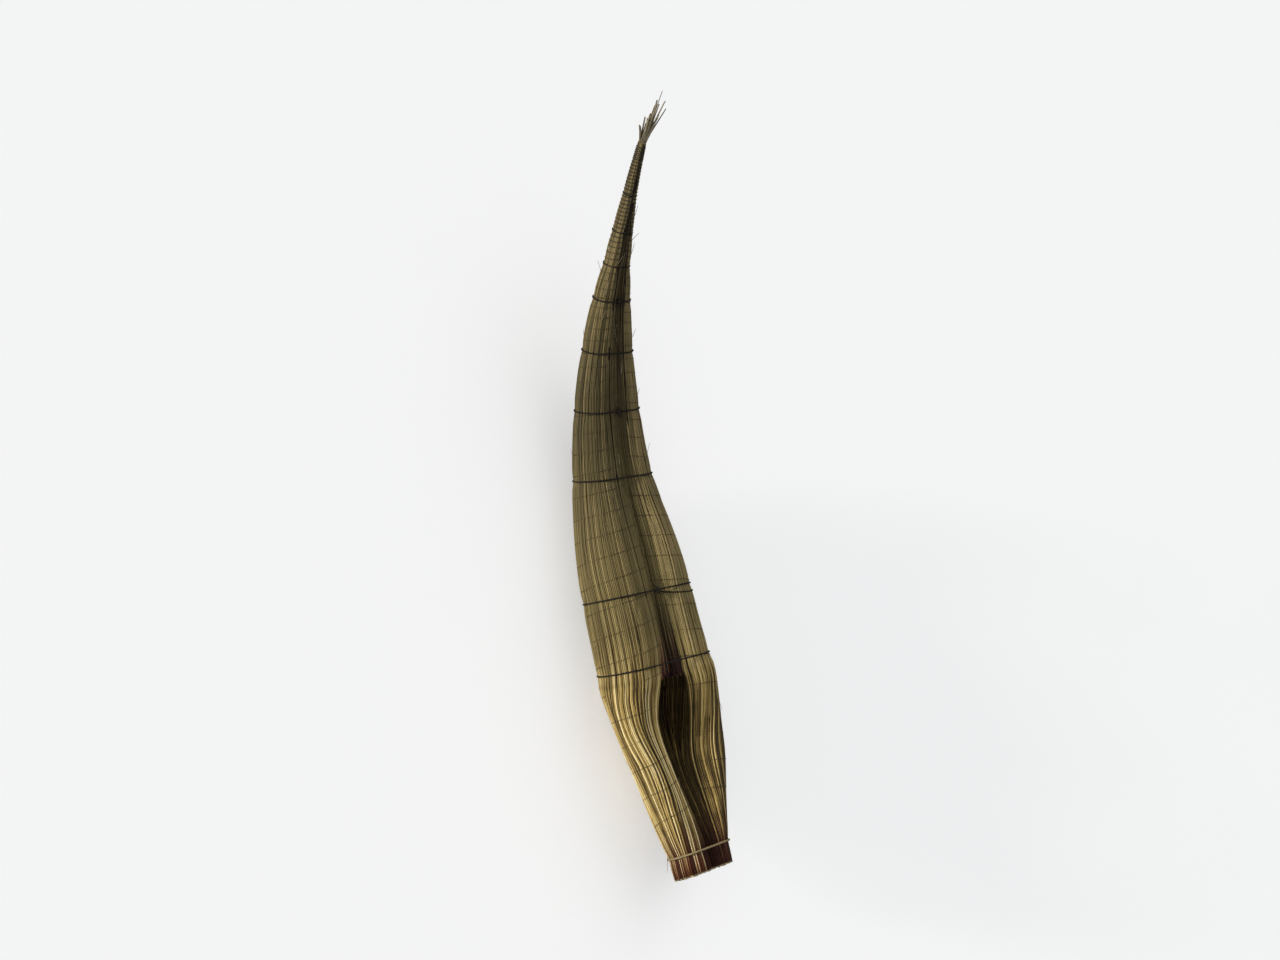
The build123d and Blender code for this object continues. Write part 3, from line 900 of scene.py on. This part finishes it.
class Tree:
    """A node tree with short ways to make and link its nodes."""

    def __init__(self, tree):
        self.nodes, self.link = tree.nodes, tree.links.new

    def feed(self, socket, value):
        """Sets a number or a colour on a socket, or links an output to it."""
        if isinstance(value, (int, float)):
            socket.default_value = value
        elif isinstance(value, tuple):
            socket.default_value = (*value, 1.0)
        else:
            self.link(value, socket)

    def node(self, kind, inputs=None):
        """A new node, with what goes into its inputs, by their names or places."""
        made = self.nodes.new(kind)
        for key, value in (inputs or {}).items():
            self.feed(made.inputs[key], value)
        return made

    def number(self, operation, first, second):
        node = self.node("ShaderNodeMath", {0: first, 1: second})
        node.operation = operation
        return node.outputs["Value"]

    def total(self, *terms, offset):
        """Sum of values, each times its weight, and an offset."""
        result = None
        for value, weight in terms:
            part = value if weight == 1 else self.number("MULTIPLY", value, weight)
            result = part if result is None else self.number("ADD", result, part)
        return self.number("ADD", result, offset)

    def fade(self, value, low, high):
        """Smooth step of a value, from 0 at low to 1 at high."""
        node = self.node("ShaderNodeMapRange", {"From Min": low, "From Max": high, "Value": value})
        node.interpolation_type = "SMOOTHSTEP"
        return node.outputs["Result"]

    def blend(self, share, first, second):
        node = self.nodes.new("ShaderNodeMix")
        node.data_type = "RGBA"
        for name, value in (("Factor", share), ("A", first), ("B", second)):
            self.feed(next(s for s in node.inputs if s.name == name and s.enabled), value)
        return next(s for s in node.outputs if s.name == "Result" and s.enabled)

    def ramp(self, shade, stops):
        """Colour for a shade, from a scale of colours."""
        node = self.node("ShaderNodeValToRGB", {"Fac": shade})
        elements = node.color_ramp.elements
        while len(elements) < len(stops):
            elements.new(0.5)
        for element, (place, colour) in zip(elements, stops):
            element.position, element.color = place, (*colour, 1.0)
        return node.outputs["Color"]

    def value_of(self, attribute):
        node = self.nodes.new("ShaderNodeAttribute")
        node.attribute_name = attribute
        return node.outputs["Fac"]


class Finish(Tree):
    """A material with its shader and the nodes that feed it."""

    def __init__(self, name):
        self.material = bpy.data.materials.new(name)
        self.material.use_nodes = True
        super().__init__(self.material.node_tree)
        self.shader = self.nodes["Principled BSDF"]
        self.shader.inputs["Specular IOR Level"].default_value = 0.2

    def fibres(self, across, along):
        """Streaks and blotches, so many round a reed or strand and along it."""
        uv = self.nodes.new("ShaderNodeUVMap")
        uv.uv_map = "round and along"
        group = self.nodes.new("ShaderNodeGroup")
        group.node_tree = bpy.data.node_groups["Fibre streaks"]
        for name, value in (("Vector", uv.outputs["UV"]), ("Across", across), ("Along", along)):
            self.feed(group.inputs[name], value)
        return group.outputs["Streaks"], group.outputs["Blotches"]

    def coat(self, colour, roughness, relief=None, height=0.0):
        """Feeds the shader with a colour, a roughness and the relief of a pattern."""
        self.feed(self.shader.inputs["Base Color"], colour)
        self.feed(self.shader.inputs["Roughness"], roughness)
        if relief:
            bump = self.node("ShaderNodeBump", {"Height": relief, "Distance": height, "Strength": 0.6})
            self.link(bump.outputs["Normal"], self.shader.inputs["Normal"])


def fibre_group():
    """Streaks along a reed or strand, from a vector that runs round it and along it."""
    group = bpy.data.node_groups.new("Fibre streaks", "ShaderNodeTree")
    face = group.interface
    face.new_socket("Vector", in_out="INPUT", socket_type="NodeSocketVector")
    for name, value in (("Across", 7.0), ("Along", 9.0), ("Detail", 4.0)):
        socket = face.new_socket(name, in_out="INPUT", socket_type="NodeSocketFloat")
        socket.default_value = value
    face.new_socket("Streaks", in_out="OUTPUT", socket_type="NodeSocketFloat")
    face.new_socket("Blotches", in_out="OUTPUT", socket_type="NodeSocketFloat")
    tree = Tree(group)
    entry = tree.node("NodeGroupInput").outputs
    scale = tree.node("ShaderNodeCombineXYZ", {"X": entry["Across"], "Y": entry["Along"]})
    stretched = tree.node("ShaderNodeVectorMath", {0: entry["Vector"], 1: scale.outputs["Vector"]})
    stretched.operation = "MULTIPLY"
    fine = {"Scale": 1.0, "Roughness": 0.65, "Vector": stretched.outputs["Vector"], "Detail": entry["Detail"]}
    broad = {"Scale": 2.3, "Detail": 3.0, "Vector": entry["Vector"]}
    patterns = [tree.node("ShaderNodeTexNoise", inputs).outputs["Fac"] for inputs in (fine, broad)]
    tree.node("NodeGroupOutput", {"Streaks": patterns[0], "Blotches": patterns[1]})


def reed_material(name, roots, roots_from, roots_to):
    """Dry reed: golden in the trough, olive amidships, dark brown at the bow, red-brown at the roots. The
    turn from golden to olive and brown is partly the reeds' ageing and partly painted light and shade.
    """
    finish = Finish(name)
    streaks, blotches = finish.fibres(5.0, 9.0)
    tone, run = finish.value_of("tone"), finish.value_of("run")
    shade = finish.total((tone, 0.62), (streaks, 0.5), (blotches, 0.6), offset=-0.345)
    golden, olive, brown, root = (finish.ramp(shade, s) for s in (TROUGH_REED, DECK_REED, BOW_REED, roots))
    by_blotch, by_tone, by_root = 1.1, 0.35, (roots_from - roots_to) * 0.8
    place = finish.total((run, 1), (blotches, by_blotch), (tone, by_tone), offset=-(by_blotch + by_tone) / 2)
    # Partly painted light and shade: sunlit golden in the trough, shaded olive and brown forward of it
    colour = finish.blend(finish.fade(place, *OLIVE_FADE), golden, olive)
    colour = finish.blend(finish.fade(place, *BROWN_FADE), colour, brown)
    near = finish.total((run, 1), (tone, by_root), offset=-by_root / 2)
    colour = finish.blend(finish.fade(near, roots_from, roots_to), colour, root)
    ends, patches = finish.fade(run, *CUT_FADE), finish.fade(streaks, *CUT_STREAKS)
    cut = finish.number("MULTIPLY", ends, patches)
    colour = finish.blend(cut, colour, CUT_REED)
    finish.coat(colour, finish.total((streaks, 0.35), offset=0.42), streaks, 0.0012)


def strand_material(name, stops, across, along, height, roughness):
    """Twisted fibre, straw or cut reed."""
    finish = Finish(name)
    streaks, blotches = finish.fibres(across, along)
    tone = finish.value_of("tone")
    shade = finish.total((streaks, 0.6), (blotches, 0.25), (tone, 0.3), offset=-0.1)
    finish.coat(finish.ramp(shade, stops), roughness, streaks, height)


def build_materials():
    fibre_group()
    reed_material("Mother reeds", STERN_REED, *MOTHER_ROOTS)
    reed_material("Son reeds", ROOT_REED, *SON_ROOT_FADE)
    for row in STRAND_FINISHES:
        strand_material(*row)


# Settings shown in the sidebar


class ReedSettings(bpy.types.PropertyGroup):
    bulge: bpy.props.FloatProperty(
        name="Bulge",
        description="How far the reeds stand out between two ropes",
        default=0.0022,
        min=0.0,
        max=0.01,
        unit="LENGTH",
    )
    core_depth: bpy.props.FloatProperty(
        name="Core depth",
        description="Depth of the dark core under the reeds",
        default=0.006,
        min=0.001,
        max=0.02,
        unit="LENGTH",
    )
    ragged_stern: bpy.props.FloatProperty(
        name="Ragged stern",
        description="How unevenly the reeds are cut at the stern",
        default=0.014,
        min=0.0,
        max=0.05,
        unit="LENGTH",
    )
    ragged_roots: bpy.props.FloatProperty(
        name="Ragged roots",
        description="How unevenly the son bundles' roots end",
        default=0.03,
        min=0.0,
        max=0.06,
        unit="LENGTH",
    )
    seed: bpy.props.IntProperty(
        name="Seed",
        description="Start of the random scatter of reeds",
        default=11,
    )


class RopeSettings(bpy.types.PropertyGroup):
    lay: bpy.props.FloatProperty(
        name="Lay",
        description="Length of one turn of the rope's strands",
        default=0.034,
        min=0.01,
        max=0.1,
        unit="LENGTH",
    )
    cord_radius: bpy.props.FloatProperty(
        name="Cord radius",
        description="Radius of the thin winding cord",
        default=0.0016,
        min=0.001,
        max=0.005,
        unit="LENGTH",
    )
    cord_clear: bpy.props.FloatProperty(
        name="Cord height",
        description="Height of the winding cord over the bundle's surface",
        default=0.0054,
        min=0.0,
        max=0.02,
        unit="LENGTH",
    )
    cord_start: bpy.props.FloatProperty(
        name="Cord start",
        description="Station where the winding cords begin",
        default=0.27,
        min=0.0,
        max=1.0,
        unit="LENGTH",
    )


class StrawSettings(bpy.types.PropertyGroup):
    tuft_radius: bpy.props.FloatProperty(
        name="Tuft straw radius",
        description="Radius of a tuft straw at its root",
        default=0.0062,
        min=0.001,
        max=0.01,
        unit="LENGTH",
    )
    strays: bpy.props.IntProperty(
        name="Stray straws",
        description="How many loose straws stick out along the boat",
        default=36,
        min=1,
        max=200,
    )


class StageSettings(bpy.types.PropertyGroup):
    floor: bpy.props.FloatVectorProperty(
        name="Floor",
        description="Colour of the floor",
        default=(0.82, 0.82, 0.81),
        size=3,
        subtype="COLOR",
        min=0.0,
        max=1.0,
    )
    key: bpy.props.FloatProperty(
        name="Key light",
        description="Strength of the key light",
        default=3.1,
        min=0.0,
    )
    fill: bpy.props.FloatProperty(
        name="Fill light",
        description="Strength of the soft light from the other side",
        default=0.5,
        min=0.0,
    )
    sky: bpy.props.FloatProperty(
        name="Sky light",
        description="Strength of the soft light from all round",
        default=0.42,
        min=0.0,
    )


# Reeds, ropes and cords of the boat

# Spacing of the cut ends at the stern and at the sons' roots
STERN_PITCH, ROOT_PITCH = 0.0108, 0.0115
# How unevenly the reeds end at the tip
RAGGED_TIP = 0.006
# The trough's reeds: how far they run on under the sons, their bulge against that of
# the others, and their range of tones, kept dark as painted shade in the cockpit's hollow
TROUGH_OVERLAP, TROUGH_BULGE, HOLLOW_SHADE_TONES = 0.12, 0.6, (0.0, 0.36)


def build_mothers(settings):
    stations = LINES.stations
    closed = [np.vstack([outer, inner[1:]]) for outer, inner in zip(LINES.outer, LINES.inner)]
    outer = Bed(LINES.outer, stations)
    reach = stations < SON_ROOTS + TROUGH_OVERLAP
    inner = Bed(LINES.inner[reach], stations[reach])
    ragged, trough_bulge = settings.ragged_stern, settings.bulge * TROUGH_BULGE
    for side, name in SIDES:
        rng = random.Random(settings.seed + side)
        tubes = Tubes()
        lay_core(tubes, closed, stations, side, settings.core_depth)
        ends, seams = (ragged, RAGGED_TIP), (0.0, 1.0)
        lay_reeds(tubes, outer, side, rng, settings.bulge, ends, seams=seams, painted_light=PAINTED_LIGHT_AND_SHADE[name])
        # The hollow's reeds take only dark tones: painted shade
        lay_reeds(tubes, inner, side, rng, trough_bulge, (ragged, 0.0), tones=HOLLOW_SHADE_TONES)
        stack_ends(tubes, closed[0], 0.0, side, rng, STERN_PITCH, (-0.002, ragged), (0.2, 1.0))
        piece = tubes.piece(f"mother_reeds_{name}", "Mother reeds", "Cut reed ends", "Bundle core")
        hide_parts(f"mother_bundle_{name}")


def build_sons(settings):
    places = [n for n, deck in enumerate(LINES.deck) if deck is not None]
    stations = LINES.stations[places]
    deck = Bed(np.array([LINES.deck[n] for n in places]), stations)
    whole = [rounded(spaced(LINES.son[n], 90), 2) for n in places]
    ragged = settings.ragged_roots
    for side, name in SIDES:
        rng = random.Random(settings.seed + 5 + side)
        tubes = Tubes()
        lay_core(tubes, whole, stations, side, settings.core_depth)
        lay_reeds(tubes, deck, side, rng, settings.bulge, (ragged, RAGGED_TIP), seams=(1.0, 1.0))
        stack_ends(tubes, whole[0], SON_ROOTS, side, rng, ROOT_PITCH, (-0.006, ragged), (0.1, 0.9))
        piece = tubes.piece(f"son_reeds_{name}", "Son reeds", "Dark reed ends", "Bundle core")
        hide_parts(f"son_bundle_{name}")


def build_ropes(settings):
    spare = straw_blank(0.4)
    for count, (node, station, radius, knotted) in enumerate(GIRTH_ROPES):
        rng = random.Random(40 + count)
        tubes = Tubes()
        lay = settings.lay * radius / THICK_ROPE
        taut_rope(tubes, station, radius * ROPE_CLEAR, radius * ROPE_SHARE, lay, 2, rng)
        if node == "girth_rope_2":
            loose_strand(tubes, station, radius, rng)
        piece = tubes.piece(f"{node}_strands", "Black rope")
        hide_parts(node)
        if knotted:
            tie = knot(node, station, radius, spare)
    discard(spare)
    tubes = Tubes()
    taut_rope(tubes, STERN_TIE, TIE_CLEAR, TIE_RADIUS, settings.lay, 3, random.Random(39))
    piece = tubes.piece("stern_tie_strands", "Straw rope")
    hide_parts("stern_tie")


def knot(node, station, radius, spare):
    """Three turns of the rope's own end drawn tight over the groove, with two short tails."""
    line = LINES.half_at(station)
    origin, along, up = keel_at(station)
    top = origin + up * (float(line[:, 1].max()) + radius * ROPE_CLEAR)
    pitch = math.atan2(along[2], along[0])
    turns = []
    for place, size, tilt in KNOT_TURNS:
        clear_selection()
        bpy.ops.mesh.primitive_torus_add(
            major_segments=18,
            minor_segments=8,
            major_radius=radius * KNOT_RADIUS * size,
            minor_radius=radius * KNOT_THICK,
        )
        turn = bpy.context.object
        turn.location, turn.rotation_euler = Vector(top + along * place), (tilt, math.pi / 2 - pitch, 0.0)
        bpy.ops.object.transform_apply(location=True, rotation=True, scale=True)
        finish_part(turn, 0.4 + tilt)
        turns.append(turn)
    ahead, across, rise = TAIL_LEAN
    for way in (-1, 1):
        tail = copy_of(spare, TAIL_LENGTH, radius * TAIL_THICK / STRAW_RADIUS)
        heading = Vector(along * (ahead * way) + PORT * (across * way) + up * rise)
        point_along(tail, Vector(top + along * TAIL_ROOT * way), heading)
        finish_part(tail, 0.5)
        turns.append(tail)
    return joined(turns, f"{node}_knot", "Black rope")


def build_cords(settings):
    for side, name in SIDES:
        start = settings.cord_start + (STARBOARD_LAG if side < 0 else 0.0)
        path, stations = winding(start, WHIPPING[0], settings.cord_clear)
        path = path * [1, side, 1]
        radii = [settings.cord_radius * at(CORD_SHARES, station) for station in stations]
        rings, runs = tube_rings(path, radii, CORD_SIDES), lengths(path)
        bow = int(np.searchsorted(stations, BOW_CORD))
        tubes = Tubes()
        tubes.add(rings[: bow + 1], 0.5, runs[: bow + 1])
        tubes.add(rings[bow:], 0.5, runs[bow:], slot=1)
        piece = tubes.piece(f"winding_cord_{name}", "Brown cord", "Dark cord")


def build_whipping(settings):
    start, end = WHIPPING
    pitch, clear, radius, corners = 0.0118, 0.0024, 0.0034, 56
    steps = round((end - start) / pitch) * corners // 2
    path = []
    for n in range(steps + 1):
        station = start + (end - start) * n / steps
        flat = girth_path(station, clear, corners)
        path.append(in_space(flat[(n * 2) % corners], station, 1)[0])
    tubes = Tubes()
    tubes.add(tube_rings(path, [radius] * len(path), ROPE_SIDES), 0.5, lengths(np.array(path)))
    piece = tubes.piece("whipping_turns", "Dark cord")
    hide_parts("bow_whipping")


# Loose straws: one blank is shaped and copied

STRAW_RADIUS = 0.0040
STRAW_CUTS = 6


def clear_selection():
    if bpy.context.mode != "OBJECT":
        bpy.ops.object.mode_set(mode="OBJECT")
    bpy.ops.object.select_all(action="DESELECT")


def straw_blank(bend):
    """A straw one metre long, tapered and bent by so many degrees towards its tip."""
    clear_selection()
    bpy.ops.mesh.primitive_cone_add(
        vertices=6,
        radius1=STRAW_RADIUS,
        radius2=STRAW_RADIUS * 0.55,
        depth=1.0,
        end_fill_type="NGON",
        location=(0.0, 0.0, 0.5),
    )
    straw = bpy.context.object
    bpy.ops.object.transform_apply(location=True, rotation=True, scale=True)
    bpy.ops.object.mode_set(mode="EDIT")
    bpy.ops.mesh.select_mode(type="EDGE")
    bpy.ops.mesh.select_all(action="DESELECT")
    bpy.ops.object.mode_set(mode="OBJECT")
    corners = straw.data.vertices
    for edge in straw.data.edges:
        low, high = (corners[n].co.z for n in edge.vertices)
        edge.select = abs(high - low) > 0.5
    bpy.ops.object.mode_set(mode="EDIT")
    bpy.ops.mesh.subdivide(number_cuts=STRAW_CUTS)
    step = 1.0 / (STRAW_CUTS + 1)
    for ring in range(1, STRAW_CUTS + 1):
        bpy.ops.mesh.select_all(action="DESELECT")
        bpy.ops.object.mode_set(mode="OBJECT")
        for vertex in corners:
            vertex.select = vertex.co.z > (ring + 0.5) * step
        bpy.ops.object.mode_set(mode="EDIT")
        bpy.ops.mesh.select_mode(type="VERT")
        bpy.ops.transform.rotate(
            value=math.radians(bend) / STRAW_CUTS,
            orient_axis="Y",
            center_override=(0.0, 0.0, ring * step),
        )
    bpy.ops.object.mode_set(mode="OBJECT")
    return straw


def copy_of(blank, length, thick):
    """A copy of the blank with its own mesh, at its own length and thickness."""
    clear_selection()
    blank.select_set(True)
    bpy.context.view_layer.objects.active = blank
    bpy.ops.object.duplicate(linked=False)
    straw = bpy.context.object
    straw.scale = (thick, thick, length)
    bpy.ops.object.transform_apply(location=False, rotation=False, scale=True)
    return straw


def point_along(part, place, heading, roll=0.0):
    """Stands a straw on a place, along a heading."""
    part.rotation_mode = "QUATERNION"
    part.rotation_quaternion = heading.to_track_quat("Z", "X") @ Quaternion((0.0, 0.0, 1.0), roll)
    part.location = place
    bpy.ops.object.transform_apply(location=True, rotation=True, scale=True)
    part.rotation_mode = "XYZ"


def finish_part(part, tone):
    """Names a part's UV map, gives it its tone and smooths it."""
    mesh = part.data
    mesh.uv_layers[0].name = "round and along"
    layer = mesh.attributes.new("tone", "FLOAT", "POINT")
    layer.data.foreach_set("value", [tone] * len(mesh.vertices))
    bpy.ops.object.shade_smooth()


def joined(parts, name, material):
    """All the parts as one piece."""
    clear_selection()
    for part in parts:
        part.select_set(True)
    bpy.context.view_layer.objects.active = parts[0]
    bpy.ops.object.join()
    piece = bpy.context.object
    piece.name = piece.data.name = name
    piece.data.materials.clear()
    piece.data.materials.append(bpy.data.materials[material])
    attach(piece, "root")
    return piece


def discard(*parts):
    clear_selection()
    for part in parts:
        part.select_set(True)
    bpy.ops.object.delete()


def build_tuft(settings):
    rng = random.Random(7)
    origin, along, up = keel_at(BOAT_LENGTH - 0.02)
    blanks = [straw_blank(bend) for bend in (0.1, 0.5, 1.0)]
    straws = []
    for lean_port, lean_up, length, thick, tone in TUFT_STRAWS:
        across = max(-0.8, min(0.8, lean_port / 20 + rng.uniform(-0.3, 0.3)))
        rise = TUFT_HEIGHT + rng.uniform(-0.75, 0.75) * TUFT_UP
        seat = origin + PORT * across * TUFT_ACROSS + up * rise
        heading = along + PORT * math.tan(math.radians(lean_port)) + up * math.tan(math.radians(lean_up))
        straw = copy_of(rng.choice(blanks), length, thick * settings.tuft_radius / STRAW_RADIUS)
        point_along(straw, Vector(seat), Vector(heading), rng.uniform(0.0, FULL_TURN))
        finish_part(straw, tone)
        straws.append(straw)
    piece = joined(straws, "tuft_straws", "Tuft straw")
    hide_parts("bow_tuft")
    discard(*blanks)


def build_strays(settings):
    rng = random.Random(23)
    thick, above_floor = 0.42, 0.01
    blanks = [straw_blank(bend) for bend in (0.8, 2.4)]
    straws = []
    for _ in range(settings.strays):
        side = rng.choice((1, -1))
        station = rng.choice([rng.uniform(*reach) for reach in STRAY_REACHES])
        line = LINES.half_at(station)
        place = int(rng.uniform(0.25, 0.97) * (len(line) - 1))
        normal = outward(line)[place]
        origin, along, up = keel_at(station)
        out = up * normal[1] + PORT * side * normal[0]
        length = rng.uniform(0.04, 0.12)
        heading = along * rng.choice((1, 1, -1)) + out * rng.uniform(0.10, 0.45)
        heading = heading + PORT * rng.uniform(-0.2, 0.2)
        start = in_space(line[place], station, side)[0] + out * 0.001
        if start[2] + min(heading[2], 0.0) * length < above_floor:
            continue
        straw = copy_of(rng.choice(blanks), length, thick)
        point_along(straw, Vector(start), Vector(heading), rng.uniform(0.0, FULL_TURN))
        finish_part(straw, rng.random())
        straws.append(straw)
    piece = joined(straws, "stray_straws", "Tuft straw")
    discard(*blanks)


# Floor, lights and camera

FLOOR_SIZE = 60.0
FLOOR_GLOW = 0.44
SKY_COLOUR = (0.95, 0.97, 1.0)
KEY_COLOUR = (1.0, 0.965, 0.90)
# Ways that the two suns shine, and how wide they are in degrees
KEY_HEADING, KEY_WIDTH = (-0.42, -0.905, -0.06), 9
FILL_HEADING, FILL_WIDTH = (-0.55, 0.50, -0.67), 50
# Focal length and sensor in millimetres, place and turn in degrees of the photograph's view
VIEW_LENS, VIEW_SENSOR = 37.1, 36.0
VIEW_PLACE = (-0.3826, 4.6438, 6.6548)
VIEW_TURN = (12.494, -35.217, -104.288)


def placed(name, data):
    """A lamp or camera as an object of the scene."""
    made = bpy.data.objects.new(name, data)
    bpy.context.scene.collection.objects.link(made)
    return made


def build_floor(settings):
    """A pale floor that keeps the boat's shadow and looks white where nothing stands on it."""
    clear_selection()
    bpy.ops.mesh.primitive_plane_add(size=FLOOR_SIZE, location=(0, 0, 0))
    floor = bpy.context.object
    floor.name = "studio_floor"
    finish = Finish("Studio floor")
    place = finish.node("ShaderNodeTexCoord").outputs["Object"]
    grain = finish.node("ShaderNodeTexNoise", {"Scale": 0.8, "Vector": place})
    stops = ((0.3, tuple(c * 0.985 for c in settings.floor)), (0.7, tuple(settings.floor)))
    finish.coat(finish.ramp(grain.outputs["Fac"], stops), 0.9)
    rays = finish.node("ShaderNodeLightPath").outputs
    seen = finish.number("ADD", rays["Is Camera Ray"], rays["Is Glossy Ray"])
    glow = finish.node("ShaderNodeEmission", {"Strength": finish.number("MULTIPLY", seen, FLOOR_GLOW)})
    both = finish.node("ShaderNodeAddShader", {0: finish.shader.outputs["BSDF"], 1: glow.outputs["Emission"]})
    finish.link(both.outputs["Shader"], finish.nodes["Material Output"].inputs["Surface"])
    floor.data.materials.append(finish.material)


def build_sky(settings):
    """Soft light from all round, with white where the sky itself is seen."""
    world = bpy.context.scene.world or bpy.data.worlds.new("Studio")
    bpy.context.scene.world = world
    world.use_nodes = True
    tree = Tree(world.node_tree)
    tree.nodes.clear()
    soft = tree.node("ShaderNodeBackground", {"Color": SKY_COLOUR, "Strength": settings.sky})
    white = tree.node("ShaderNodeBackground", {"Color": (1.0, 1.0, 1.0)})
    rays = tree.node("ShaderNodeLightPath").outputs
    seen = tree.number("MAXIMUM", rays["Is Camera Ray"], rays["Is Transmission Ray"])
    shades = {0: seen, 1: soft.outputs["Background"], 2: white.outputs["Background"]}
    pick = tree.node("ShaderNodeMixShader", shades)
    tree.node("ShaderNodeOutputWorld", {"Surface": pick.outputs["Shader"]})


def build_sun(name, strength, width, heading, colour=(1.0, 1.0, 1.0)):
    sun = bpy.data.lights.new(name, "SUN")
    sun.energy, sun.angle, sun.color = strength, math.radians(width), colour
    lamp = placed(name, sun)
    lamp.rotation_mode = "QUATERNION"
    lamp.rotation_quaternion = Vector(heading).to_track_quat("-Z", "Y")


def build_camera():
    lens = bpy.data.cameras.new("Photo view")
    lens.lens, lens.sensor_width = VIEW_LENS, VIEW_SENSOR
    camera = placed("Photo view", lens)
    camera.location = VIEW_PLACE
    camera.rotation_euler = [math.radians(angle) for angle in VIEW_TURN]
    bpy.context.scene.camera = camera


def build_stage(settings):
    build_floor(settings)
    build_sky(settings)
    build_sun("Key light", settings.key, KEY_WIDTH, KEY_HEADING, KEY_COLOUR)
    build_sun("Fill light", settings.fill, FILL_WIDTH, FILL_HEADING)
    build_camera()
    bpy.context.scene.view_settings.view_transform = "Standard"


# One operator for each group of pieces


class REEDBOAT_OT_mothers(bpy.types.Operator):
    """Lay the reeds of the two mother bundles"""

    bl_idname = "reedboat.mothers"
    bl_label = "Mother bundles"
    bl_options = {"REGISTER", "UNDO"}

    def execute(self, context):
        build_mothers(context.scene.reed_settings)
        return {"FINISHED"}


class REEDBOAT_OT_sons(bpy.types.Operator):
    """Lay the reeds of the two son bundles"""

    bl_idname = "reedboat.sons"
    bl_label = "Son bundles"
    bl_options = {"REGISTER", "UNDO"}

    def execute(self, context):
        build_sons(context.scene.reed_settings)
        return {"FINISHED"}


class REEDBOAT_OT_ropes(bpy.types.Operator):
    """Twist the girth ropes and the stern tie, and tie their knots"""

    bl_idname = "reedboat.ropes"
    bl_label = "Girth ropes"
    bl_options = {"REGISTER", "UNDO"}

    def execute(self, context):
        build_ropes(context.scene.rope_settings)
        return {"FINISHED"}


class REEDBOAT_OT_cords(bpy.types.Operator):
    """Wind a thin cord round each half of the boat"""

    bl_idname = "reedboat.cords"
    bl_label = "Winding cords"
    bl_options = {"REGISTER", "UNDO"}

    def execute(self, context):
        build_cords(context.scene.rope_settings)
        return {"FINISHED"}


class REEDBOAT_OT_whipping(bpy.types.Operator):
    """Wind the whipping round the tip of the bow"""

    bl_idname = "reedboat.whipping"
    bl_label = "Bow whipping"
    bl_options = {"REGISTER", "UNDO"}

    def execute(self, context):
        build_whipping(context.scene.rope_settings)
        return {"FINISHED"}


class REEDBOAT_OT_tuft(bpy.types.Operator):
    """Stand the tuft of straws on the tip"""

    bl_idname = "reedboat.tuft"
    bl_label = "Bow tuft"
    bl_options = {"REGISTER", "UNDO"}

    def execute(self, context):
        build_tuft(context.scene.straw_settings)
        return {"FINISHED"}


class REEDBOAT_OT_strays(bpy.types.Operator):
    """Scatter a few loose straws along the bundles"""

    bl_idname = "reedboat.strays"
    bl_label = "Stray straws"
    bl_options = {"REGISTER", "UNDO"}

    def execute(self, context):
        build_strays(context.scene.straw_settings)
        return {"FINISHED"}


class REEDBOAT_OT_stage(bpy.types.Operator):
    """Set the floor, the lights and the camera"""

    bl_idname = "reedboat.stage"
    bl_label = "Stage"
    bl_options = {"REGISTER", "UNDO"}

    def execute(self, context):
        build_stage(context.scene.stage_settings)
        return {"FINISHED"}


class REEDBOAT_PT_sidebar(bpy.types.Panel):
    """Lists the settings and the pieces of the reed boat"""

    bl_label = "Reed Boat"
    bl_idname = "REEDBOAT_PT_sidebar"
    bl_space_type = "VIEW_3D"
    bl_region_type = "UI"
    bl_category = "Reed Boat"

    def draw(self, context):
        for group in SETTINGS:
            settings = getattr(context.scene, group)
            box = self.layout.box()
            for name in settings.bl_rna.properties.keys():
                if name not in ("rna_type", "name"):
                    box.prop(settings, name)
        for kind in OPERATORS:
            self.layout.operator(kind.bl_idname)


SETTINGS = {
    "reed_settings": ReedSettings,
    "rope_settings": RopeSettings,
    "straw_settings": StrawSettings,
    "stage_settings": StageSettings,
}
OPERATORS = (
    REEDBOAT_OT_mothers,
    REEDBOAT_OT_sons,
    REEDBOAT_OT_ropes,
    REEDBOAT_OT_cords,
    REEDBOAT_OT_whipping,
    REEDBOAT_OT_tuft,
    REEDBOAT_OT_strays,
    REEDBOAT_OT_stage,
)


def register():
    for kind in [*SETTINGS.values(), *OPERATORS, REEDBOAT_PT_sidebar]:
        bpy.utils.register_class(kind)
    for name, kind in SETTINGS.items():
        setattr(bpy.types.Scene, name, bpy.props.PointerProperty(type=kind))


def unregister():
    for name in SETTINGS:
        delattr(bpy.types.Scene, name)
    for kind in reversed([*SETTINGS.values(), *OPERATORS, REEDBOAT_PT_sidebar]):
        bpy.utils.unregister_class(kind)


def main():
    register()
    build_materials()
    bpy.ops.reedboat.mothers()
    bpy.ops.reedboat.sons()
    bpy.ops.reedboat.ropes()
    bpy.ops.reedboat.cords()
    bpy.ops.reedboat.whipping()
    bpy.ops.reedboat.tuft()
    bpy.ops.reedboat.strays()
    bpy.ops.reedboat.stage()


if __name__ == "__main__":
    main()
